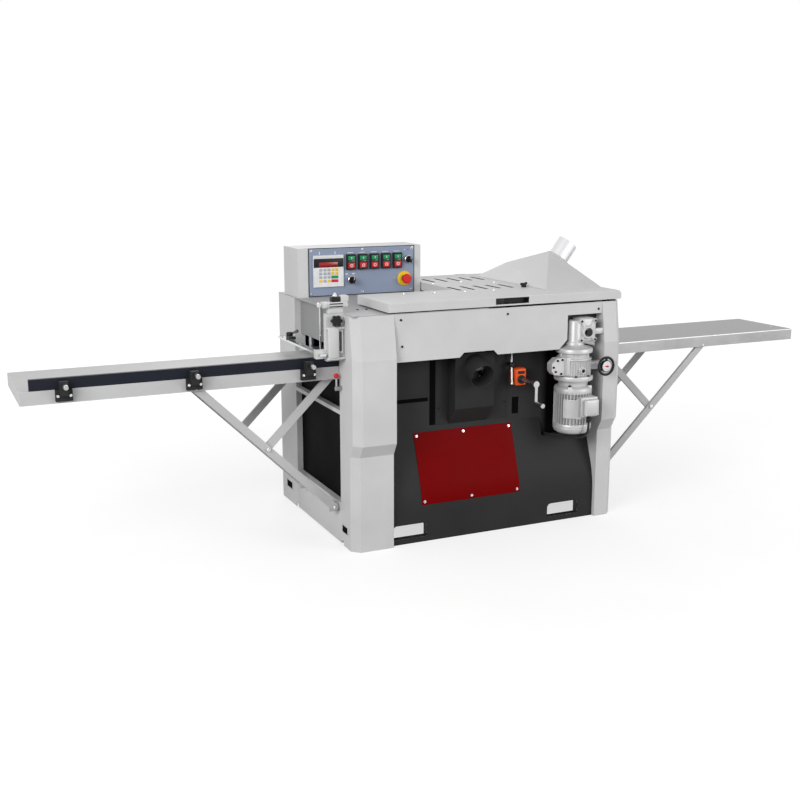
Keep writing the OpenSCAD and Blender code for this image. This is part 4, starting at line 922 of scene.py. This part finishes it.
def add_motor():
    low, high = MOTOR_LOW, MOTOR_HIGH
    body = [
        (0, low), (48, low), (64, low + 3), (72, low + 9), (76, low + 19), (77, low + 25), (75.8, low + 26),
        (75.8, low + 28), (77, low + 29), (77, low + 40), (75.5, low + 42), (60, low + 42), (60, high - 29),
        (75, high - 29), (76, high - 27), (76, high - 12), (72, high - 6), (62, high - 2), (60, high),
        (0, high),
    ]
    foot = [(0, 0), (11, 0), (11, 25), (9.5, 27), (0, 27)]
    bm = bmesh.new()
    on_axis(bm, body)
    fluted(bm, low + 41, high - 28, low_r=62, high_r=76, teeth=36, share=0.3)
    arc_plate(bm, 66, 77, -152, -112, 447, 523)
    arc_plate(bm, 66, 77, -112, -80, 444, 526)
    for at in around(FEET_R, FEET_ANGLES, high - 26):
        lathe(bm, at, UP, foot, 24)
    slab(bm, (353, TERMINAL_FACE + 18, 455), (433, -440, 535), 5, 3)
    slab(bm, (360, TERMINAL_FACE, 462), (428, TERMINAL_FACE + 22, 528), 7, 4)
    slab(bm, (368, TERMINAL_FACE - 1.6, 470), (420, TERMINAL_FACE + 5, 520), 1.4, 2)
    piece("motor_case", bm, "drive_alloy", replaced=("feed_motor",))
    hex_bolts("motor_bolts", around(FEET_R, FEET_ANGLES, high + 1), UP, 5.2, 6, "black_plastic")
    spots = [(x, TERMINAL_FACE, z) for x in (366, 422) for z in (467, 523)]
    screws("terminal_screws", spots, FRONT, 2.4, 1.6, "bright_steel")
    nut = [(5.2, 0), (9.6, 0), (9.6, 14.5), (5.2, 14.5)]
    seal_cap = [(5.2, 0), (7, 0), (8.6, 2.5), (8.6, 7.5), (5.2, 7.5)]
    bm = bmesh.new()
    lathe(bm, (GLAND_X, GLAND_Y, 441), UP, nut, 6, closed=True)
    lathe(bm, (GLAND_X, GLAND_Y, 434), UP, seal_cap, 20, closed=True)
    piece("cable_gland", bm, "black_plastic")


# Dial of the speed handwheel
TICKS = 20
TICK_HALF = 0.35
TICK_END = 18.2


def add_dial():
    x, y, z = WHEEL
    bm = bmesh.new()
    lathe(bm, WHEEL, FRONT, [(0, 0), (21, 0), (21, 0.8), (19.8, 1.4), (0, 1.4)], 48)
    piece("dial_face", bm, "white_plastic", "speed_handwheel")
    bm = bmesh.new()
    for k in range(TICKS):
        angle = math.tau * k / TICKS
        across = Vector((math.cos(angle), math.sin(angle)))
        side = TICK_HALF * across.orthogonal()
        start = WHEEL.xz + (15.2 if k % 5 else 13.2) * across
        end = WHEEL.xz + TICK_END * across
        prism(bm, (start - side, end - side, end + side, start + side), y - 1.7, y - 1.2)
    piece("dial_ticks", bm, "black_plastic", "speed_handwheel")
    hand = [(x - 13, z + 1.5), (x - 2, z - 3.2), (x + 7, z - 3.4), (x + 7, z + 2.6), (x - 2, z + 3.2)]
    bm = bmesh.new()
    prism(bm, hand, y - 2.0, y - 1.3)
    lathe(bm, (x, y - 1.3, z), FRONT, [(0, 0), (4, 0), (4, 1), (3, 1.6), (0, 1.6)], 24)
    piece("dial_pointer", bm, "red_plastic", "speed_handwheel")


# Width setting: lock rod beside the indicator
LOCK_TOP = Vector((138, -312, 731))
LOCK_FOOT = Vector((119, -352, 594))


def add_width_trim():
    way = LOCK_FOOT - LOCK_TOP
    bm = bmesh.new()
    rod(bm, LOCK_TOP, way, 4.5, way.length, 16)
    lathe(bm, LOCK_FOOT, way, [(0, -2), (6, -2), (7, 2), (7, 10), (5, 12), (0, 12)], 24)
    piece("lock_rod", bm, "bright_steel", look="satin_painted_shade")
    joint = [(0, 0), (8, 0), (11, 3), (11, 17), (7, 20), (7, 39), (0, 39)]
    bm = bmesh.new()
    lathe(bm, LOCK_TOP.lerp(LOCK_FOOT, 0.52) + 10 * FRONT, BACK, joint, 24)
    piece("lock_joint", bm, "black_plastic")


# Lid: painted shade as dark sheets in and round its slots, and the wing knob
SLOT_ROWS = [(-12, -158), (24, 152)]
SLOTS_IN_ROW = 5
SLOT_PITCH = 60
SLOT_L = 115
SLOT_SHADE_HALF = 4.4
SLOT_SHADE_RIM_HALF = 6.5
SLOT_SHADE_RIM_END = 3
KNOB = centre_mm("lid_knob")
KNOB.z = LID_TOP + 0.4
WING_TURN = math.radians(30)


def add_lid_trim():
    # Painted shade: each slot gets a dark sheet under it and a dark rim round it on the lid's top
    bm = bmesh.new()
    for first_x, y in SLOT_ROWS:
        for k in range(SLOTS_IN_ROW):
            x = first_x + SLOT_PITCH * k
            slab(bm, (x - SLOT_SHADE_HALF, y + 1, LID_TOP - 6),
                 (x + SLOT_SHADE_HALF, y + SLOT_L - 1, LID_TOP - 0.1), 0.3, 1)
            slab(bm, (x - SLOT_SHADE_RIM_HALF, y - SLOT_SHADE_RIM_END, LID_TOP - 0.4),
                 (x + SLOT_SHADE_RIM_HALF, y + SLOT_L + SLOT_SHADE_RIM_END, LID_TOP + 0.4), 0.3, 1)
    piece("slot_shades", bm, "black_paint", "lid", "painted_shade")
    hub = [(0, 0), (10, 0), (11, 2), (11, 8), (8.5, 11), (8.5, 15), (7, 17), (0, 17)]
    wing = [(0, 0), (5, 0), (5.5, 5), (6.2, 12), (5.2, 17), (0, 18.5)]
    across = Vector((math.cos(WING_TURN), math.sin(WING_TURN), 0))
    bm = bmesh.new()
    lathe(bm, KNOB, UP, hub, 32)
    for way in (-across, across):
        lathe(bm, KNOB + 10 * UP + 5 * way, way + 0.25 * UP, wing, 20)
    rod(bm, KNOB + 14 * DOWN, UP, 4.9, 14.5, 24)
    piece("wing_knob", bm, "black_plastic", "lid_knob", replaced=("lid_knob",))


# Recess wall: plates beside the dust box, and dark strips of painted shade in the gaps round them
DUST_BOX_LOW, DUST_BOX_HIGH = box_mm("front_dust_box")
BOX_GAP = 0.6
WALL_GAP_SHADES = [(-221, 440, -196, 712), (151, 451, 181, 520), (-411, 538, -228, 553)]


def add_wall_plates():
    bm = bmesh.new()
    for x0, x1 in ((-193, DUST_BOX_LOW.x - BOX_GAP), (DUST_BOX_HIGH.x + BOX_GAP, 126)):
        slab(bm, (x0, WALL_Y - WALL_PLATE_T, 440), (x1, WALL_Y - 0.1, 713), 0.8, 2)
    slab(bm, (-411, WALL_Y - 2.2, 556), (-228, WALL_Y - 0.1, 712), 0.8, 2)
    piece("wall_plates", bm, "black_paint", look="plate_paint")
    # Painted shade: dark strips in the gaps
    bm = bmesh.new()
    for x0, z0, x1, z1 in WALL_GAP_SHADES:
        slab(bm, (x0, WALL_Y - 0.6, z0), (x1, WALL_Y + 0.6, z1), 0.2, 1)
    piece("wall_gap_shades", bm, "black_paint", look="painted_shade")


# Position indicator in the place of its solid
INDICATOR_LOW, INDICATOR_HIGH = box_mm("position_indicator")
INDICATOR_X = centre_mm("position_indicator").x
INDICATOR_FACE = INDICATOR_LOW.y + 8


def add_indicator():
    x, face = INDICATOR_X, INDICATOR_FACE
    bm = bmesh.new()
    slab(bm, (x - 25, face, INDICATOR_LOW.z + 0.5), (x + 25, WALL_Y - 0.1, INDICATOR_HIGH.z), 8, 4)
    piece("indicator_case", bm, "orange_plastic", replaced=("position_indicator",))
    knob_ring = [(8.7, 0), (17, 0), (17, 6), (14.5, 8.4), (8.7, 8.4)]
    bm = bmesh.new()
    slab(bm, (x - 15, face - 0.8, 624), (x + 15, face + 1.6, 636), 0.6, 2)
    lathe(bm, (x, face + 0.4, 602), FRONT, knob_ring, 36, closed=True)
    piece("indicator_trim", bm, "black_plastic")


# End rails of the cabinet below the braces, with the windows of the posts' feet and painted shade inside them
PANEL_END_X = box_mm("cabinet_panels")[1].x
POST_X = box_mm("corner_posts")[1].x
FOOT_WINDOWS = [(-352, -298, 56, 84), (282, 352, 62, 92)]
WINDOW_RIM = 4


def end_slab(bm, side, near_x, far_x, low, high, radius, steps):
    """Slab at the right (1) or left (-1) end, from near to far, between two corners in Y and Z."""
    x0, x1 = sorted((side * near_x, side * far_x))
    slab(bm, (x0, *low), (x1, *high), radius, steps)


def add_end_plates():
    bm = bmesh.new()
    for side in (-1, 1):
        end_slab(bm, side, PANEL_END_X + 0.4, POST_X - 1, (-282.5, 3), (212.5, 127.5), 1.5, 2)
    piece("low_rail_plates", bm, "light_paint")
    # Painted shade: a dark sheet in each window, inside a pale rim
    rims = bmesh.new()
    gaps = bmesh.new()
    for y0, y1, z0, z1 in FOOT_WINDOWS:
        left, right = y0 - WINDOW_RIM, y1 + WINDOW_RIM
        strips = (((left, z0 - WINDOW_RIM), (right, z0)), ((left, z1), (right, z1 + WINDOW_RIM)),
                  ((left, z0), (y0, z1)), ((y1, z0), (right, z1)))
        for side in (-1, 1):
            end_slab(gaps, side, POST_X - 0.4, POST_X + 0.6, (y0, z0), (y1, z1), 0.2, 1)
            for low, high in strips:
                end_slab(rims, side, POST_X, POST_X + 2.6, low, high, 0.6, 2)
    piece("foot_window_shades", gaps, "black_paint", look="painted_shade")
    piece("foot_window_rims", rims, "light_paint")


# Side unit on the infeed side: blocks by their corners, edge radius and steps
SIDE_CASTING = [
    ((-656, -352, 744), (-613, -342.2, 857), 4.5, 4),
    ((-659, -349, 738), (-588.4, -333.2, 747), 3, 3),
    ((-659, -349, 851), (-588.4, -333.2, 860), 3, 3),
    ((-648, -332, 906.8), (-588.4, -309, 930), 4, 3),
    ((-668, -337, 928), (-572, -298, 950), 3.5, 3),
    ((-597, -331, 949), (-566, -300, 972), 3, 3),
]
SIDE_SLOTS = [
    ((-645, -337.8, 931.5), (-592, -335, 936), 1, 2),
    ((-645, -337.8, 941.5), (-592, -335, 946), 1, 2),
    ((-632, -330, 949), (-599, -302, 969), 3, 3),
]


def add_side_unit():
    bm = bmesh.new()
    for block in SIDE_CASTING:
        slab(bm, *block)
    for x in (-660, -580):
        lathe(bm, (x, -337, 939), FRONT, [(0, 0), (7, 0), (7, 4), (5.5, 6), (0, 6)], 24)
    piece("side_unit_casting", bm, "light_paint")
    bm = bmesh.new()
    for block in SIDE_SLOTS:
        slab(bm, *block)
    piece("side_unit_slots", bm, "black_plastic")
    end_bolt = [(0, 0), (5, 0), (5, 6), (10, 7), (10, 14), (8.5, 16), (0, 16)]
    top_bolt = [(0, 0), (9, 0), (9, 5), (5, 6), (5, 13), (4, 14), (0, 14)]
    bm = bmesh.new()
    lathe(bm, (-668, -317, 940), LEFT, end_bolt, 6)
    lathe(bm, (-615, -316, 969), UP, top_bolt, 24)
    piece("side_unit_bolts", bm, "bright_steel")


# Clamp lever of the guide
LEVER_HUB = centre_mm("guide_lever")
LEVER_HUB.z = box_mm("guide_lever")[0].z + 0.1
LEVER_TURN = math.radians(35)
LEVER_WAY = Vector((math.cos(LEVER_TURN), math.sin(LEVER_TURN), 0.10))


def add_clamp_lever():
    hub = [(0, 13), (6.4, 13), (6.4, 0), (12, 0), (13, 2), (13, 12), (10, 16), (0, 16)]
    tip = [(0, 0), (6.6, 0), (6.8, 3), (6.2, 6), (0, 7)]
    handle = [(0, 0), (4, 0), (4.4, 8), (5.6, 24), (6, 38), (0, 38)]
    start = LEVER_HUB + 8 * UP
    bm = bmesh.new()
    lathe(bm, LEVER_HUB, UP, hub, 32)
    lathe(bm, start + 47 * LEVER_WAY, LEVER_WAY, tip, 24)
    piece("lever_hub", bm, "black_plastic", "guide_lever", replaced=("guide_lever",))
    bm = bmesh.new()
    lathe(bm, start + 9 * LEVER_WAY, LEVER_WAY, handle, 24)
    piece("lever_handle", bm, "bright_steel", "guide_lever")


# Tables: stop rod, bolts of the braces, and screws and rod handles of the fence clamps
TABLE_TOP = box_mm("infeed_table")[1].z
BRACE_INSET = 4
BRACE_BOLTS = [(608, 147), (870, 408), (1132, 661)]
CLAMP_X = (-714, -1142, -1588)
CLAMP_SCREW_Y = -298
CLAMP_SCREW_Z = 681
ROD_END_Y = -327.5
ROD_Z = 718


def add_table_trim():
    stop = [(0, 0), (9, 0), (9, 10), (5, 12), (5, 190), (9, 192), (9, 200.5), (0, 200.5)]
    bm = bmesh.new()
    lathe(bm, (-573, -48, TABLE_TOP), UP, stop, 32)
    piece("stop_rod", bm, "bright_steel")
    for end, side in (("infeed", -1), ("outfeed", 1)):
        low, high = box_mm(f"{end}_table")
        front = [(side * x, low.y + BRACE_INSET, z) for x, z in BRACE_BOLTS]
        back = [(side * x, high.y - BRACE_INSET, z) for x, z in BRACE_BOLTS]
        hex_bolts(f"{end}_brace_bolts_front", front, FRONT, 6, 5, "bright_steel")
        hex_bolts(f"{end}_brace_bolts_back", back, BACK, 6, 5, "bright_steel")
    spots = [(x + dx, CLAMP_SCREW_Y, CLAMP_SCREW_Z) for x in CLAMP_X for dx in (-21, 21)]
    screws("clamp_screws", spots, FRONT, 5.4, 2.6, "bright_steel")
    handle = [(0, 0), (8, 0), (9, 2), (9, 24), (7.5, 27), (0, 27)]
    collar = [(9.05, 3), (11, 3), (11, 10), (9.05, 10)]
    handles = bmesh.new()
    collars = bmesh.new()
    for x in CLAMP_X:
        lathe(handles, (x, ROD_END_Y, ROD_Z), FRONT, handle, 28)
        lathe(collars, (x, ROD_END_Y, ROD_Z), FRONT, collar, 28, closed=True)
    piece("rod_handles", handles, "bright_steel", "infeed_fence", "satin_painted_shade")
    piece("rod_collars", collars, "black_plastic", "infeed_fence")


add_panel_trim()
add_display()
add_stations()
add_panel_rings()
add_panel_marks()
add_fixings()
add_skirt_trim()
add_variator()
add_gearbox()
add_motor()
add_dial()
add_width_trim()
add_lid_trim()
add_wall_plates()
add_indicator()
add_end_plates()
add_side_unit()
add_clamp_lever()
add_table_trim()


# Floor, world and lamps
WHITE = (1, 1, 1, 1)
FLOOR_SIZE = 30.0
FLOOR_TONES = ((0.36, 0.36, 0.36), (0.38, 0.38, 0.38))
FLOOR_GLOW = (0.64, 0.78)
GLOW_REACH = (1.3, 4.5)
AMBIENT = 0.49
SHOWN_RAYS = ("Is Camera Ray", "Is Glossy Ray", "Is Transmission Ray")


def shown_rays(tree):
    """1 where the camera sees the surface, directly or in metal and glass."""
    path = tree.nodes.new("ShaderNodeLightPath")
    value = path.outputs[SHOWN_RAYS[0]]
    for name in SHOWN_RAYS[1:]:
        node = tree.nodes.new("ShaderNodeMath")
        node.operation = "MAXIMUM"
        tree.links.new(value, node.inputs[0])
        tree.links.new(path.outputs[name], node.inputs[1])
        value = node.outputs["Value"]
    return value


def floor_material():
    """Pale grey that glows a little where it is seen, more so far from the object."""
    mat, tree, shader = blank("floor")
    cloud = noise(tree, object_coords(tree), scale=2.0)
    tone = ramp(tree, cloud, (0.3, FLOOR_TONES[0]), (0.7, FLOOR_TONES[1]))
    tree.links.new(tone, shader.inputs["Base Color"])
    shader.inputs["Roughness"].default_value = 0.9
    shader.inputs["Emission Color"].default_value = WHITE
    distance = tree.nodes.new("ShaderNodeVectorMath")
    distance.operation = "LENGTH"
    tree.links.new(object_coords(tree), distance.inputs[0])
    lift = tree.nodes.new("ShaderNodeMath")
    lift.operation = "MULTIPLY"
    tree.links.new(shown_rays(tree), lift.inputs[0])
    tree.links.new(spread(tree, distance.outputs["Value"], *FLOOR_GLOW, source=GLOW_REACH), lift.inputs[1])
    tree.links.new(lift.outputs["Value"], shader.inputs["Emission Strength"])
    return mat


def add_floor():
    mesh = bpy.data.meshes.new("floor")
    half = FLOOR_SIZE / 2
    corners = [(-half, -half, 0), (half, -half, 0), (half, half, 0), (-half, half, 0)]
    mesh.from_pydata(corners, [], [(0, 1, 2, 3)])
    mesh.materials.append(floor_material())
    floor = shown("floor", mesh)


def add_world():
    world = bpy.data.worlds.new("studio")
    bpy.context.scene.world = world
    world.use_nodes = True
    tree = world.node_tree
    tree.nodes.clear()
    out = tree.nodes.new("ShaderNodeOutputWorld")
    back = tree.nodes.new("ShaderNodeBackground")
    back.inputs["Color"].default_value = WHITE
    tree.links.new(spread(tree, shown_rays(tree), AMBIENT, 1.0, source=(0, 1)), back.inputs["Strength"])
    tree.links.new(back.outputs["Background"], out.inputs["Surface"])


def add_lamp(name, at, target, size, power):
    data = bpy.data.lights.new(name, "AREA")
    data.shape = "DISK"
    data.size = size
    data.energy = power
    lamp = shown(name, data)
    lamp.location = at
    lamp.rotation_euler = (Vector(target) - Vector(at)).to_track_quat("-Z", "Y").to_euler()


add_floor()
add_world()
add_lamp("key", at=(-4.6, -3.2, 2.8), target=(0, 0, 0.6), size=2.8, power=186)
add_lamp("fill", at=(3.2, -4.2, 2.2), target=(0.3, 0, 0.6), size=2.8, power=96)
add_lamp("rim", at=(0.5, 4.0, 3.2), target=(0, 0, 0.7), size=2.4, power=45)
bpy.context.scene.view_settings.view_transform = "Standard"
